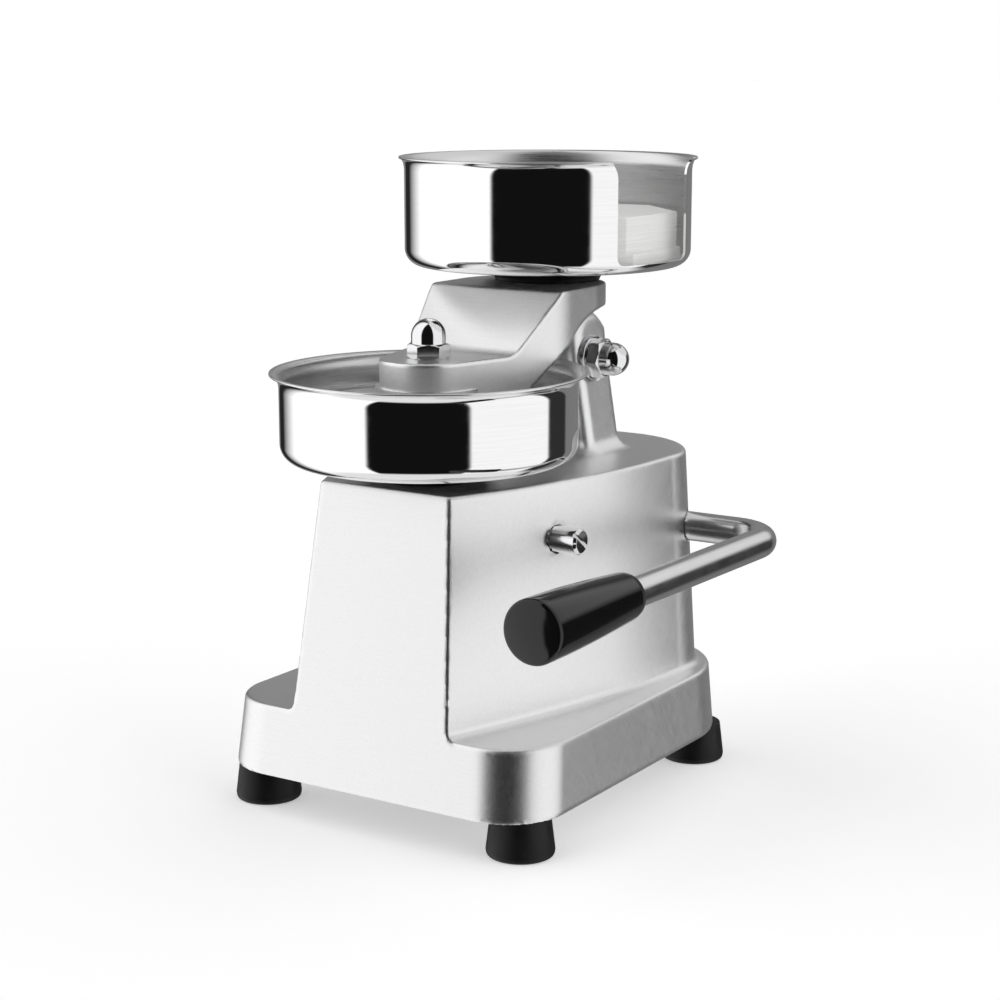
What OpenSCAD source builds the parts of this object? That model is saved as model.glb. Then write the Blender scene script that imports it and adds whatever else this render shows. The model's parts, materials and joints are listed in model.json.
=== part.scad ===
// Hand-operated patty forming press with a paper tray, in millimetres.
// A side handle turns a crank inside the cast body. The crank tilts the press arm back
// through a connecting rod and, through a drag link and a rocker, lifts the ejector plate.
// +Z is up, the operator stands on the -Y side and the handle is on the +X side.
// Places are measured from the floor point under the mould's axis, then moved so that
// the origin lies on the floor at the centre of the press's overall box.

/* [Body casting] */
// Half of the base's width at its underside
base_half_w = 86; // [82:1:90]
// Front edge of the base at its underside
base_front_y = -53; // [-58:1:-50]
// Rear edge of the base at its underside
base_rear_y = 156; // [154:1:162]
// Height of the base's underside above the floor
base_bottom_z = 18; // [17:0.5:20]
// Height of the base's upper face
base_top_z = 50; // [46:1:54]
// Height of the body's upper face
body_top_z = 154; // [153:0.5:155]
// Wall thickness of the casting
wall = 5; // [4:0.5:5.5]

/* [Mould and tray] */
// Outer radius of the mould bowl's wall
mould_r = 66.7; // [66.2:0.1:67.2]
// Height of the mould bowl's rim
mould_rim_z = 201.8; // [196:0.2:204]
// Distance of the tray bowl's axis behind the mould's axis
tray_y = 100.4; // [98:0.2:102]
// Outer radius of the tray bowl's wall
tray_r = 68.3; // [67:0.1:69]
// Height of the tray bowl's rim
tray_rim_z = 292.3; // [280:0.5:300]
// Outer radius of both bowls' rolled rims
rim_r = 71; // [70.5:0.1:72]
// Thickness of both bowls' steel sheet
sheet = 1.2; // [1:0.1:1.4]
// Thickness of the paper stack
paper_h = 22.4; // [10:0.2:30]

/* [Handle] */
// Distance of the handle's side bar from the mould's axis
handle_x = 115; // [112:1:120]
// Radius of the handle bar
bar_r = 7; // [6.5:0.1:7]
// Centreline radius of the handle's bend
bend_r = 20; // [18:1:24]
// Front end of the grip
grip_front_y = -100; // [-106:1:-96]
// Rear end of the grip
grip_rear_y = -24; // [-28:1:-20]
// Largest radius of the grip
grip_r = 13.5; // [12:0.5:14]

/* [Mechanism] */
// Throw of the crank, the rocker and the arm's tail
throw_r = 18; // [17.5:0.1:18]
// Height of the arm's pivot
arm_pivot_z = 198.8; // [198:0.2:200]
// Height of the handle's shaft
handle_z = 117.5; // [117:0.1:118]
// Height of the rocker's pivot
rocker_z = 128.5; // [128:0.1:129]

/* [Hidden] */

$fn = 64;
hull_fn = 32;
slice_h = 0.01;
run_gap = 0.05;
side_gap = 0.5;
reach = 60;

// Overall box and the shift that centres it on the origin
centre_x = (handle_x + grip_r - base_half_w) / 2;
centre_y = (grip_front_y + tray_y + rim_r) / 2;

// Base and body outlines
base_front_corner_r = 28;
base_rear_corner_r = 54;
base_draft = 2;
front_lean = 18 / (body_top_z - base_bottom_z);
body_rear_corner_r = 50;
body_front_corner_r = 5;
body_swell_r = 30;
body_swell_y = 20;
body_low = [42, 62, 76, 152];
body_high = [34.5, 55.5, 70, 150];

// Column that carries the arm's pivot
arm_pivot_y = 94.5;
column_half_w = 27.7;
column_front_y = 82;
column_rear_y = 114;
column_corner_r = 8;
column_top = [[98, 205, 16], [104, 210.5, 8.5], [109, 210, 5]];
column_top_half_w = 25.2;
column_foot_z = body_top_z - 1;
column_foot_grow = [10.5, 5, 7];
column_flare_z = 164;
column_flare_grow = [5.8, 0, 0.5];
nut_seat_x = 27;
spot_face_r = 11.2;
channel_half_w = 14;
channel_front_y = 88;
fork_bottom_z = 184;
rod_slot = [8, 116, 136];

// Shafts and bosses in the body
handle_y = 119;
rocker_y = 18.2;
pivot_r = 6;
handle_boss_r = 14;
handle_boss_x = 46;
rocker_boss_r = 11;
rocker_boss_x = 38;
bush_r = 10;
bush_end_x = 62;
bar_hole_r = 7.6;
pin_right_x = 69;
pin_left_x = -54.5;
pin_slot_w = 2;
pin_slot_depth = 2.5;
spacer_r = 8.5;
thread_r = 5;
stud_end_h = 11;
shaft_end = 15;
pivot_washer_r = 10.5;
pivot_washer_h = 3;

// Domed nuts: hexagon with a chamfer, and a dome on a short cylinder
nut_across = 17;
nut_corner_r = 9.9;
nut_seat_r = 8.6;
nut_hex_h = 8;
nut_chamfer = 0.8;
nut_dome_r = 7.8;
nut_dome_z = 9.9;
nut_bore_h = 12;

// Feet
foot_x = 69.4;
foot_front_y = -32.9;
foot_rear_y = 125.9;
foot_r = 15.2;
foot_top_r = 13.4;
foot_recess_r = 7.2;
foot_recess_h = 8;
foot_boss_r = 9;
foot_boss_h = 24;
foot_screw_r = 3;
foot_screw_h = 26;
foot_edge_r = 1.5;
countersink_h = 3.5;
washer_h = 1.2;
washer_r = 6.5;
hex_key = 4;

// Bowls and their seats
seat_h = 8;
mould_floor_z = body_top_z + seat_h;
tray_seat_h = 7;
arm_top_z = 234;
tray_floor_z = arm_top_z + tray_seat_h;
bowl_corner_r = 8;
rim_flare_h = 7;
seat_top_r = 31;
seat_bottom_r = 25;
notch_angle = -9.5;
notch_half_w = 25;
notch_bottom_z = tray_floor_z + 4.5;
notch_corner_r = 4;
notch_lip_r = 8;
paper_half_w = 58;
paper_cut = 58;
paper_shift_y = -2.5;
paper_gap = 0.5;
lower_pack_h = 5.8;
tray_head_h = 1.8;
paper_z = tray_floor_z + sheet + tray_head_h + paper_gap;

// Press arm
arm_under_z = 195;
arm_boss_top_z = 207.3;
arm_boss_r = 22;
arm_half_w = 36.7;
arm_shoulder_y = 55.5;
arm_slope_y = 25.5;
arm_rear_y = 83;
arm_step_y = 31.4;
arm_heel = [56.5, 206.5];
arm_toe = [60.5, 207.7];
cheek_arc_r = 46;
cheek_bottom_z = 223.3;
arm_wall = 5;
arm_top_wall = 6;
arm_cavity_y = 61;
lug_half_w = 13;
lug_r = 10.5;
link_slot = 5;

// Linkage: the angles are those at rest, from the rear, turning upwards
arm_angle = 49;
drag_angle = -65;
nose_angle = -147.5;
link_half_w = 4;
link_end_r = 6.5;
web_out = 12;
link_pin_r = 3.5;
link_pin_head_r = 5;
link_pin_head_h = 1.6;
rod_half_h = 4.5;
drag_end_r = 6;
drag_half_h = 4;
lug_end_r = 7;
hub_r = 10.5;
hub_out = 10;
core_r = 8.5;
cross_pin_r = 2.5;
cross_pin_x = -web_out - hub_out / 2;
collar_r = 12;
collar_w = 10;
set_screw_r = 2.5;
set_screw_h = 4.5;
rocker_hub_r = 9.5;
nose_r = 5;
nose_half_w = 6;

// Grip
grip_rear_r = 10.6;
handle_rise_a = 0.7;
grip_cover = 18;

// Press and ejector plates
plate_gap = 0.4;
ejector_plate_r = 64;
ejector_plate_h = 6;
ejector_plate_z = mould_floor_z + sheet + 1.8;
ejector_rod_r = 5;
guide_r = 8;
guide_flange_r = 12;
guide_flange_h = 1.4;
guide_bottom_z = 144.5;
guide_nut_across = 24;
press_plate_r = 62;
press_plate_z = 178;
press_plate_h = 8;
hub_plate_r = 24;

function polar(r, a) = [r * cos(a), r * sin(a)];
function arc(c, r, a0, a1, n) = [for (i = [0:n]) c + polar(r, a0 + (a1 - a0) * i / n)];

A = [arm_pivot_y, arm_pivot_z];
H = [handle_y, handle_z];
P = [rocker_y, rocker_z];
arm_tail = A + polar(throw_r, arm_angle);
crank_rod_pin = H + polar(throw_r, arm_angle);
crank_drag_pin = H + polar(throw_r, drag_angle);
rocker_drag_pin = P + polar(throw_r, drag_angle);
rocker_nose = P + polar(throw_r, nose_angle);
rod_bottom_z = rocker_nose[1] + nose_r + plate_gap;

module at_home() {
    translate([-centre_x, -centre_y, 0]) children();
}

// Cylinder along X at a point of the YZ plane
module x_cyl(p, r, x0, x1) {
    translate([x0, p[0], p[1]]) rotate([0, 90, 0]) cylinder(r = r, h = x1 - x0);
}

module both_sides() {
    for (side = [0, 1]) mirror([side, 0, 0]) children();
}

// Hexagon prism by its width across flats
module hex_prism(across, h) {
    cylinder(r = across / sqrt(3), h = h, $fn = 6);
}

// Profile drawn in (y, z) and extruded along X
module x_extrude(x0, x1) {
    translate([x0, 0, 0]) rotate([90, 0, 90]) linear_extrude(x1 - x0) children();
}

module front_corners(half_w, y, r, z) {
    both_sides() translate([half_w - r, y + r, z]) cylinder(r = r, h = slice_h, $fn = hull_fn);
}

module rear_corners(half_w, y, r, z) {
    both_sides() translate([half_w - r, y - r, z]) cylinder(r = r, h = slice_h, $fn = hull_fn);
}

// Front face's place at a height, with its lean
function front_y(z) = base_front_y + front_lean * (z - base_bottom_z);

module base_block(inset, z0, z1) {
    hull() {
        for (end = [[z0, 0], [z1, base_draft]]) {
            front_corners(base_half_w - inset - end[1], front_y(end[0]) + inset,
                          base_front_corner_r - inset, end[0]);
            rear_corners(base_half_w - inset - end[1], base_rear_y - inset - end[1],
                         base_rear_corner_r - inset - end[1], end[0]);
        }
    }
}

module body_slice(w, inset, z) {
    corner_r = max(body_front_corner_r - inset, 1);
    front_corners(w[0] - inset, front_y(z) + inset, corner_r, z);
    front_corners(w[1] - inset, body_swell_y - body_swell_r + inset, body_swell_r - inset, z);
    rear_corners(w[2] - inset, w[3] - inset, body_rear_corner_r - inset, z);
}

module body_block(inset, z0, z1) {
    hull() {
        body_slice(body_low, inset, z0);
        body_slice(body_high, inset, z1 - slice_h);
    }
}

// Section of the column, grown sideways, to the front and to the rear
module column_slice(grow, z) {
    front_corners(column_half_w + grow[0], column_front_y - grow[1], column_corner_r, z);
    rear_corners(column_half_w + grow[0], column_rear_y + grow[2], column_corner_r, z);
}

module column() {
    hull() {
        column_slice(column_foot_grow, column_foot_z);
        column_slice(column_flare_grow, column_flare_z);
    }
    hull() {
        column_slice(column_flare_grow, column_flare_z);
        column_slice([0, 0, 0], arm_pivot_z);
    }
    hull() {
        column_slice([0, 0, 0], arm_pivot_z);
        for (edge = column_top)
            x_cyl(edge, edge[2], -column_top_half_w, column_top_half_w, $fn = hull_fn);
    }
}

module body_bosses() {
    both_sides() {
        x_cyl(H, handle_boss_r, handle_boss_x, base_half_w);
        x_cyl(P, rocker_boss_r, rocker_boss_x, base_half_w);
        for (y = [foot_front_y, foot_rear_y])
            translate([foot_x, y, 0]) cylinder(r = foot_boss_r, h = base_bottom_z + foot_boss_h);
    }
}

module body_casting() {
    color("gainsboro") at_home() difference() {
        union() {
            base_block(0, base_bottom_z, base_top_z);
            body_block(0, base_top_z - 1, body_top_z);
            column();
        }
        difference() {
            union() {
                base_block(wall, base_bottom_z - 1, base_top_z - wall);
                body_block(wall, base_top_z - wall - 1, body_top_z - wall);
            }
            body_bosses();
        }
        // Channel of the column, the fork at its top and the slot for the connecting rod
        translate([-channel_half_w, channel_front_y, body_top_z])
            cube([2 * channel_half_w, reach, 2 * reach]);
        translate([-channel_half_w, channel_front_y - reach, fork_bottom_z])
            cube([2 * channel_half_w, reach + 1, reach]);
        translate([-rod_slot[0], rod_slot[1], body_top_z - 2 * wall])
            cube([2 * rod_slot[0], rod_slot[2] - rod_slot[1], 4 * wall]);
        // Bores of the three shafts, and flat seats for the washers of the arm's shaft
        both_sides() x_cyl(A, spot_face_r, nut_seat_x, reach);
        x_cyl(A, pivot_r, -reach, reach);
        x_cyl(P, pivot_r, -base_half_w, base_half_w);
        x_cyl(H, bush_r, -bush_end_x, bush_end_x);
        x_cyl(H, bar_hole_r, bush_end_x - 1, base_half_w);
        // Bore of the ejector's guide and the holes for the feet's screws
        cylinder(r = guide_r, h = 2 * body_top_z);
        both_sides() for (y = [foot_front_y, foot_rear_y])
            translate([foot_x, y, 0]) cylinder(r = foot_screw_r, h = base_bottom_z + foot_boss_h - 6);
    }
}

// Half section of a bowl: outer wall up, rolled rim, inner wall down
function bowl_section(r, floor_z, rim_z, hole_r) = let (
    ro = bowl_corner_r,
    ri = bowl_corner_r - sheet,
    flare = rim_r - r
) concat(
    [[hole_r, floor_z]],
    arc([r - ro, floor_z + ro], ro, -90, 0, 8),
    [for (i = [0:8]) [r + flare * (1 - cos(90 * i / 8)), rim_z - sheet - rim_flare_h * (1 - i / 8)]],
    [for (i = [8:-1:0]) [r - sheet * (1 - i / 8) + flare * (1 - cos(90 * i / 8)),
                         rim_z - rim_flare_h * (1 - i / 8)]],
    arc([r - ro, floor_z + ro], ri, 0, -90, 8),
    [[hole_r, floor_z + sheet]]
);

module bowl(r, floor_z, rim_z, hole_r) {
    rotate_extrude($fn = 96) polygon(bowl_section(r, floor_z, rim_z, hole_r));
}

module seat(z, h, top_r, bottom_r, hole_r) {
    rotate_extrude() polygon([
        [hole_r, z], [bottom_r, z], [bottom_r + 1, z + h * 0.35], [top_r, z + h * 0.8],
        [top_r, z + h], [hole_r, z + h]
    ]);
}

module mould_bowl() {
    color("silver") at_home() bowl(mould_r, mould_floor_z, mould_rim_z, guide_r);
}

module mould_seat() {
    color("dimgray") at_home() seat(body_top_z, seat_h, seat_top_r, seat_bottom_r, guide_r);
}

module ejector_guide_bush() {
    color("darkgoldenrod") at_home() difference() {
        union() {
            translate([0, 0, guide_bottom_z])
                cylinder(r = guide_r, h = mould_floor_z + sheet - guide_bottom_z);
            translate([0, 0, mould_floor_z + sheet])
                cylinder(r = guide_flange_r, h = guide_flange_h);
        }
        cylinder(r = ejector_rod_r + run_gap, h = 2 * body_top_z);
    }
}

module guide_bush_nut() {
    color("silver") at_home() translate([0, 0, guide_bottom_z]) difference() {
        hex_prism(guide_nut_across, body_top_z - wall - guide_bottom_z);
        translate([0, 0, -1]) cylinder(r = guide_r, h = 2 * wall);
    }
}

module foot() {
    top_z = base_bottom_z;
    rotate_extrude() polygon(concat(
        [[foot_screw_r, foot_recess_h], [foot_recess_r, foot_recess_h], [foot_recess_r, 0]],
        arc([foot_r - foot_edge_r, foot_edge_r], foot_edge_r, -90, 0, 6),
        [[foot_top_r, top_z], [foot_screw_r, top_z]]
    ));
}

module front_left_foot() {
    color("black") at_home() translate([-foot_x, foot_front_y, 0]) foot();
}

module front_right_foot() {
    color("black") at_home() translate([foot_x, foot_front_y, 0]) foot();
}

module rear_left_foot() {
    color("black") at_home() translate([-foot_x, foot_rear_y, 0]) foot();
}

module rear_right_foot() {
    color("black") at_home() translate([foot_x, foot_rear_y, 0]) foot();
}

module at_feet() {
    both_sides() for (y = [foot_front_y, foot_rear_y]) translate([foot_x, y, 0]) children();
}

module foot_screws() {
    head_z = foot_recess_h - washer_h;
    color("silver") at_home() at_feet() {
        translate([0, 0, head_z]) cylinder(r = foot_screw_r, h = foot_screw_h);
        difference() {
            translate([0, 0, head_z - countersink_h])
                cylinder(r1 = 4.4, r2 = 5.5, h = countersink_h);
            translate([0, 0, head_z - countersink_h - 1]) hex_prism(hex_key, countersink_h);
        }
    }
}

module foot_washers() {
    color("silver") at_home() at_feet() translate([0, 0, foot_recess_h - washer_h]) difference() {
        cylinder(r = washer_r, h = washer_h);
        translate([0, 0, -1]) cylinder(r = foot_screw_r, h = washer_h + 2);
    }
}

module arm_pivot_shaft() {
    end_x = nut_seat_x + shaft_end;
    color("silver") at_home() {
        x_cyl(A, pivot_r, -nut_seat_x, nut_seat_x);
        x_cyl(A, thread_r, -end_x, end_x);
    }
}

module arm_pivot_washers() {
    color("silver") at_home() both_sides() difference() {
        x_cyl(A, pivot_washer_r, nut_seat_x, nut_seat_x + pivot_washer_h);
        x_cyl(A, thread_r, 0, 2 * reach);
    }
}

// Domed nut along +Z with its seating face at z = 0
module cap_nut(bore_h) {
    difference() {
        union() {
            intersection() {
                hex_prism(nut_across, nut_hex_h);
                rotate_extrude() polygon([
                    [0, 0], [nut_seat_r, 0], [nut_corner_r, nut_chamfer],
                    [nut_corner_r, nut_hex_h - nut_chamfer], [nut_seat_r, nut_hex_h], [0, nut_hex_h]
                ]);
            }
            rotate_extrude() polygon(concat(
                [[0, nut_hex_h - 1], [nut_dome_r, nut_hex_h - 1]],
                arc([0, nut_dome_z], nut_dome_r, 0, 90, 12)
            ));
        }
        translate([0, 0, -1]) cylinder(r = thread_r, h = bore_h + 1);
    }
}

module arm_pivot_cap_nuts() {
    color("silver") at_home() both_sides()
        translate([nut_seat_x + pivot_washer_h, A[0], A[1]]) rotate([0, 90, 0]) cap_nut(nut_bore_h);
}

module rocker_pivot_pin() {
    color("silver") at_home() difference() {
        x_cyl(P, pivot_r, pin_left_x, pin_right_x);
        translate([pin_right_x - pin_slot_depth, P[0] - 2 * pivot_r, P[1] - pin_slot_w / 2])
            cube([2 * pin_slot_depth, 4 * pivot_r, pin_slot_w]);
    }
}

module rocker_spacers() {
    color("silver") at_home() both_sides() difference() {
        x_cyl(P, spacer_r, web_out + side_gap, rocker_boss_x);
        x_cyl(P, pivot_r, 0, reach);
    }
}

module handle_shaft_bushes() {
    color("darkgoldenrod") at_home() both_sides() difference() {
        x_cyl(H, bush_r, handle_boss_x, bush_end_x);
        x_cyl(H, bar_r + run_gap, 0, 2 * reach);
    }
}

// Plan of the arm: round nose, tangent flanks, straight sides and a round rear
module arm_plan() {
    shoulder = [arm_half_w, arm_shoulder_y];
    tangent_a = atan2(shoulder[1], shoulder[0]) - acos(arm_boss_r / norm(shoulder));
    tangent = polar(arm_boss_r, tangent_a);
    circle(r = arm_boss_r);
    polygon([tangent, shoulder, [-shoulder[0], shoulder[1]], [-tangent[0], tangent[1]]]);
    translate([-arm_half_w, arm_shoulder_y]) square([2 * arm_half_w, arm_rear_y - arm_shoulder_y]);
    translate([0, arm_rear_y]) circle(r = arm_half_w, $fn = 96);
}

// Side view of the arm in (y, z)
module arm_side() {
    arc_c = [A[0], cheek_bottom_z - cheek_arc_r];
    arc_start = acos((arm_toe[0] - arc_c[0]) / cheek_arc_r);
    polygon(concat(
        [[-reach, arm_under_z], [arm_step_y, arm_under_z], arm_heel],
        arc(arc_c, cheek_arc_r, arc_start, 90, 10),
        [[3 * reach, cheek_bottom_z], [3 * reach, arm_top_z], [arm_shoulder_y, arm_top_z],
         [arm_slope_y, arm_boss_top_z], [-reach, arm_boss_top_z]]
    ));
}

module arm_lug() {
    difference() {
        hull() {
            x_cyl(A, lug_r, -lug_half_w, lug_half_w, $fn = hull_fn);
            x_cyl(arm_tail, lug_end_r, -lug_half_w, lug_half_w, $fn = hull_fn);
            translate([-lug_half_w, A[0] - lug_r, arm_top_z - arm_top_wall - 1])
                cube([2 * lug_half_w, 30, 2]);
        }
        difference() {
            x_extrude(-link_slot, link_slot) translate([A[0] - 2 * lug_r, A[1] - reach])
                square([reach, reach + arm_top_z - arm_top_wall - A[1]]);
            x_cyl(A, lug_r, -lug_half_w, lug_half_w);
        }
    }
}

module press_arm() {
    color("gainsboro") at_home() difference() {
        union() {
            difference() {
                intersection() {
                    translate([0, 0, arm_under_z]) linear_extrude(arm_top_z - arm_under_z) arm_plan();
                    x_extrude(-arm_half_w, arm_half_w) arm_side();
                }
                translate([0, 0, arm_under_z - 1])
                    linear_extrude(arm_top_z - arm_top_wall - arm_under_z + 1) {
                        translate([arm_wall - arm_half_w, arm_cavity_y])
                            square([2 * (arm_half_w - arm_wall), arm_rear_y - arm_cavity_y]);
                        translate([0, arm_rear_y]) circle(r = arm_half_w - arm_wall, $fn = 96);
                    }
            }
            arm_lug();
        }
        translate([0, 0, arm_under_z - 1]) cylinder(r = thread_r, h = reach);
        x_cyl(A, guide_r, -reach, reach);
        x_cyl(arm_tail, link_pin_r, -lug_half_w - 1, lug_half_w + 1);
        translate([0, tray_y, arm_top_z - 2 * arm_top_wall]) cylinder(r = foot_screw_r, h = reach);
    }
}

module arm_pivot_bush() {
    color("darkgoldenrod") at_home() difference() {
        x_cyl(A, guide_r, -lug_half_w, lug_half_w);
        x_cyl(A, pivot_r + run_gap, -reach, reach);
    }
}

// Pin with a head at each end, riveted over the webs
module link_pin(p) {
    x_cyl(p, link_pin_r, -web_out, web_out);
    both_sides() x_cyl(p, link_pin_head_r, web_out, web_out + link_pin_head_h);
}

module arm_link_pin() {
    color("silver") at_home()
        x_cyl(arm_tail, link_pin_r, -lug_half_w - side_gap, lug_half_w + side_gap);
}

module press_plate() {
    color("silver") at_home() difference() {
        translate([0, 0, press_plate_z]) rotate_extrude($fn = 96) polygon([
            [0, 0], [press_plate_r - 1, 0], [press_plate_r, 1], [press_plate_r, press_plate_h - 1],
            [press_plate_r - 1, press_plate_h], [0, press_plate_h]
        ]);
        translate([0, 0, press_plate_z + 2]) cylinder(r = thread_r, h = reach);
    }
}

module press_plate_hub() {
    hub_z = press_plate_z + press_plate_h;
    color("silver") at_home() difference() {
        translate([0, 0, hub_z]) cylinder(r = hub_plate_r, h = arm_under_z - hub_z);
        translate([0, 0, hub_z - 1]) cylinder(r = thread_r, h = reach);
    }
}

module press_plate_stud() {
    color("silver") at_home() translate([0, 0, press_plate_z + 2])
        cylinder(r = thread_r, h = arm_boss_top_z + stud_end_h - press_plate_z - 2);
}

module press_plate_cap_nut() {
    color("silver") at_home() translate([0, 0, arm_boss_top_z]) cap_nut(nut_bore_h);
}

// Outline of the tray's cut-out: round lower corners and lips that roll away at the rim
function notch_side(s, flip) = let (
    lower = arc([notch_half_w - notch_corner_r, notch_bottom_z + notch_corner_r],
                notch_corner_r, -90, 0, 5),
    upper = arc([notch_half_w + notch_lip_r, tray_rim_z - notch_lip_r], notch_lip_r, 180, 100, 6),
    side = concat(lower, upper, [[notch_half_w + notch_lip_r, tray_rim_z + notch_lip_r]]),
    last = len(side) - 1
) [for (i = [0:last]) let (q = side[flip ? last - i : i]) [s * q[0], q[1]]];

module notch() {
    translate([0, tray_y, 0]) rotate([0, 0, notch_angle]) x_extrude(tray_r / 2, 2 * tray_r)
        polygon(concat(notch_side(1, false), notch_side(-1, true)));
}

module tray_bowl() {
    color("silver") at_home() difference() {
        translate([0, tray_y, 0]) bowl(tray_r, tray_floor_z, tray_rim_z, foot_screw_r);
        notch();
    }
}

module tray_seat() {
    color("dimgray") at_home() translate([0, tray_y, 0])
        seat(arm_top_z, tray_seat_h, seat_top_r, seat_bottom_r, foot_screw_r);
}

module tray_screw() {
    head_z = tray_floor_z + sheet;
    shank_z = arm_top_z - arm_top_wall - 2;
    color("silver") at_home() translate([0, tray_y, 0]) {
        translate([0, 0, shank_z]) cylinder(r = foot_screw_r, h = head_z - shank_z);
        difference() {
            translate([0, 0, head_z]) cylinder(r = 7, h = tray_head_h);
            translate([0, 0, head_z + tray_head_h / 2]) hex_prism(hex_key, tray_head_h);
        }
    }
}

// Square sheet with its corners cut off
module paper_pack(h) {
    linear_extrude(h) intersection() {
        square(2 * paper_half_w, center = true);
        rotate(45) square(2 * paper_cut, center = true);
    }
}

module lower_paper_pack() {
    color("whitesmoke") at_home() translate([1.5, tray_y + paper_shift_y + 0.5, paper_z]) rotate(2)
        paper_pack(lower_pack_h);
}

module upper_paper_pack() {
    color("whitesmoke") at_home() translate([0, tray_y + paper_shift_y, paper_z + lower_pack_h])
        paper_pack(paper_h - lower_pack_h);
}

// Turned about the shaft, so that the side leg rises a little towards its grip
module raised() {
    translate([0, H[0], H[1]]) rotate([-handle_rise_a, 0, 0]) translate([0, -H[0], -H[1]]) children();
}

// Round bar: drive shaft, bend and the leg that carries the grip
module handle_bar() {
    color("silver") at_home() difference() {
        raised() {
            x_cyl(H, bar_r, 2 - bush_end_x, handle_x - bend_r);
            translate([handle_x - bend_r, H[0] - bend_r, H[1]])
                rotate_extrude(angle = 90) translate([bend_r, 0]) circle(r = bar_r);
            translate([handle_x, H[0] - bend_r, H[1]]) rotate([90, 0, 0])
                cylinder(r = bar_r, h = H[0] - bend_r - grip_front_y - grip_cover - 1);
        }
        cross_pin(reach);
    }
}

// Grip section along its own axis: slim round shoulder, long swell, round nose
module handle_grip() {
    length = grip_rear_y - grip_front_y;
    shoulder = 4;
    nose = 4;
    waist = [for (i = [0:10]) let (t = i / 10)
        [grip_rear_r + (grip_r - grip_rear_r) * sin(90 * t),
         shoulder + (length - shoulder - nose) * t]];
    color("black") at_home() raised() translate([handle_x, grip_rear_y, H[1]]) rotate([90, 0, 0])
        difference() {
            rotate_extrude() polygon(concat(
                [[0, 0]],
                arc([grip_rear_r - shoulder, shoulder], shoulder, -90, -10, 6),
                waist,
                arc([grip_r - nose, length - nose], nose, 10, 90, 6),
                [[0, length]]
            ));
            translate([0, 0, -1]) cylinder(r = bar_r, h = length + 1 - grip_cover);
        }
}

// Pin across the crank's hub and the shaft, longer than the hub by the given amount at each end
module cross_pin(extra) {
    translate([cross_pin_x, H[0], H[1] - hub_r - extra])
        cylinder(r = cross_pin_r, h = 2 * (hub_r + extra));
}

module crank_web(pins) {
    hull() {
        x_cyl(H, hub_r, link_slot, web_out, $fn = hull_fn);
        for (p = pins) x_cyl(p, link_end_r, link_slot, web_out, $fn = hull_fn);
    }
}

module drive_crank() {
    color("slategray") at_home() difference() {
        union() {
            both_sides() crank_web([crank_rod_pin, crank_drag_pin]);
            x_cyl(H, core_r, -web_out, web_out);
            x_cyl(H, hub_r, -web_out - hub_out, -web_out);
        }
        x_cyl(H, bar_r, -reach, reach);
        for (p = [crank_rod_pin, crank_drag_pin]) x_cyl(p, link_pin_r, -reach, reach);
        cross_pin(reach);
    }
}

module crank_cross_pin() {
    color("silver") at_home() cross_pin(side_gap);
}

module crank_link_pins() {
    color("silver") at_home() {
        link_pin(crank_rod_pin);
        link_pin(crank_drag_pin);
    }
}

module shaft_collar() {
    end_x = handle_boss_x - side_gap;
    color("silver") at_home() difference() {
        x_cyl(H, collar_r, end_x - collar_w, end_x);
        x_cyl(H, bar_r, 0, reach);
        translate([end_x - collar_w / 2, H[0], H[1]]) cylinder(r = set_screw_r, h = reach);
    }
}

module collar_set_screw() {
    screw_x = handle_boss_x - side_gap - collar_w / 2;
    color("dimgray") at_home() translate([screw_x, H[0], H[1] + bar_r]) difference() {
        cylinder(r = set_screw_r, h = set_screw_h);
        translate([0, 0, set_screw_h - 2]) hex_prism(2.5, 3);
    }
}

// Flat bar with round ends and a running bore at each pin
module link_bar(p, q, end_r, half_h) {
    d = q - p;
    difference() {
        union() {
            for (e = [p, q]) x_cyl(e, end_r, -link_half_w, link_half_w);
            translate([-link_half_w, p[0], p[1]]) rotate([atan2(d[1], d[0]), 0, 0])
                translate([0, 0, -half_h]) cube([2 * link_half_w, norm(d), 2 * half_h]);
        }
        for (e = [p, q]) x_cyl(e, link_pin_r + run_gap, -reach, reach);
    }
}

module connecting_rod() {
    color("slategray") at_home() link_bar(crank_rod_pin, arm_tail, link_end_r, rod_half_h);
}

module drag_link() {
    color("slategray") at_home()
        link_bar(crank_drag_pin, rocker_drag_pin, drag_end_r, drag_half_h);
}

module ejector_rocker() {
    color("slategray") at_home() difference() {
        union() {
            x_cyl(P, rocker_hub_r, -nose_half_w, nose_half_w);
            x_cyl(rocker_nose, nose_r, -nose_half_w, nose_half_w);
            hull() {
                x_cyl(P, nose_r, -nose_half_w, nose_half_w, $fn = hull_fn);
                x_cyl(rocker_nose, nose_r / 2, -nose_half_w, nose_half_w, $fn = hull_fn);
            }
            both_sides() hull() {
                x_cyl(P, rocker_hub_r, link_slot, web_out, $fn = hull_fn);
                x_cyl(rocker_drag_pin, drag_end_r, link_slot, web_out, $fn = hull_fn);
            }
        }
        x_cyl(P, pivot_r + run_gap, -reach, reach);
        x_cyl(rocker_drag_pin, link_pin_r, -reach, reach);
    }
}

module rocker_link_pin() {
    color("silver") at_home() link_pin(rocker_drag_pin);
}

// Countersunk head with its top at a height
module plate_screw_head(top_z) {
    translate([0, 0, top_z - foot_screw_r])
        cylinder(r1 = foot_screw_r, r2 = 2 * foot_screw_r, h = foot_screw_r);
}

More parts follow.
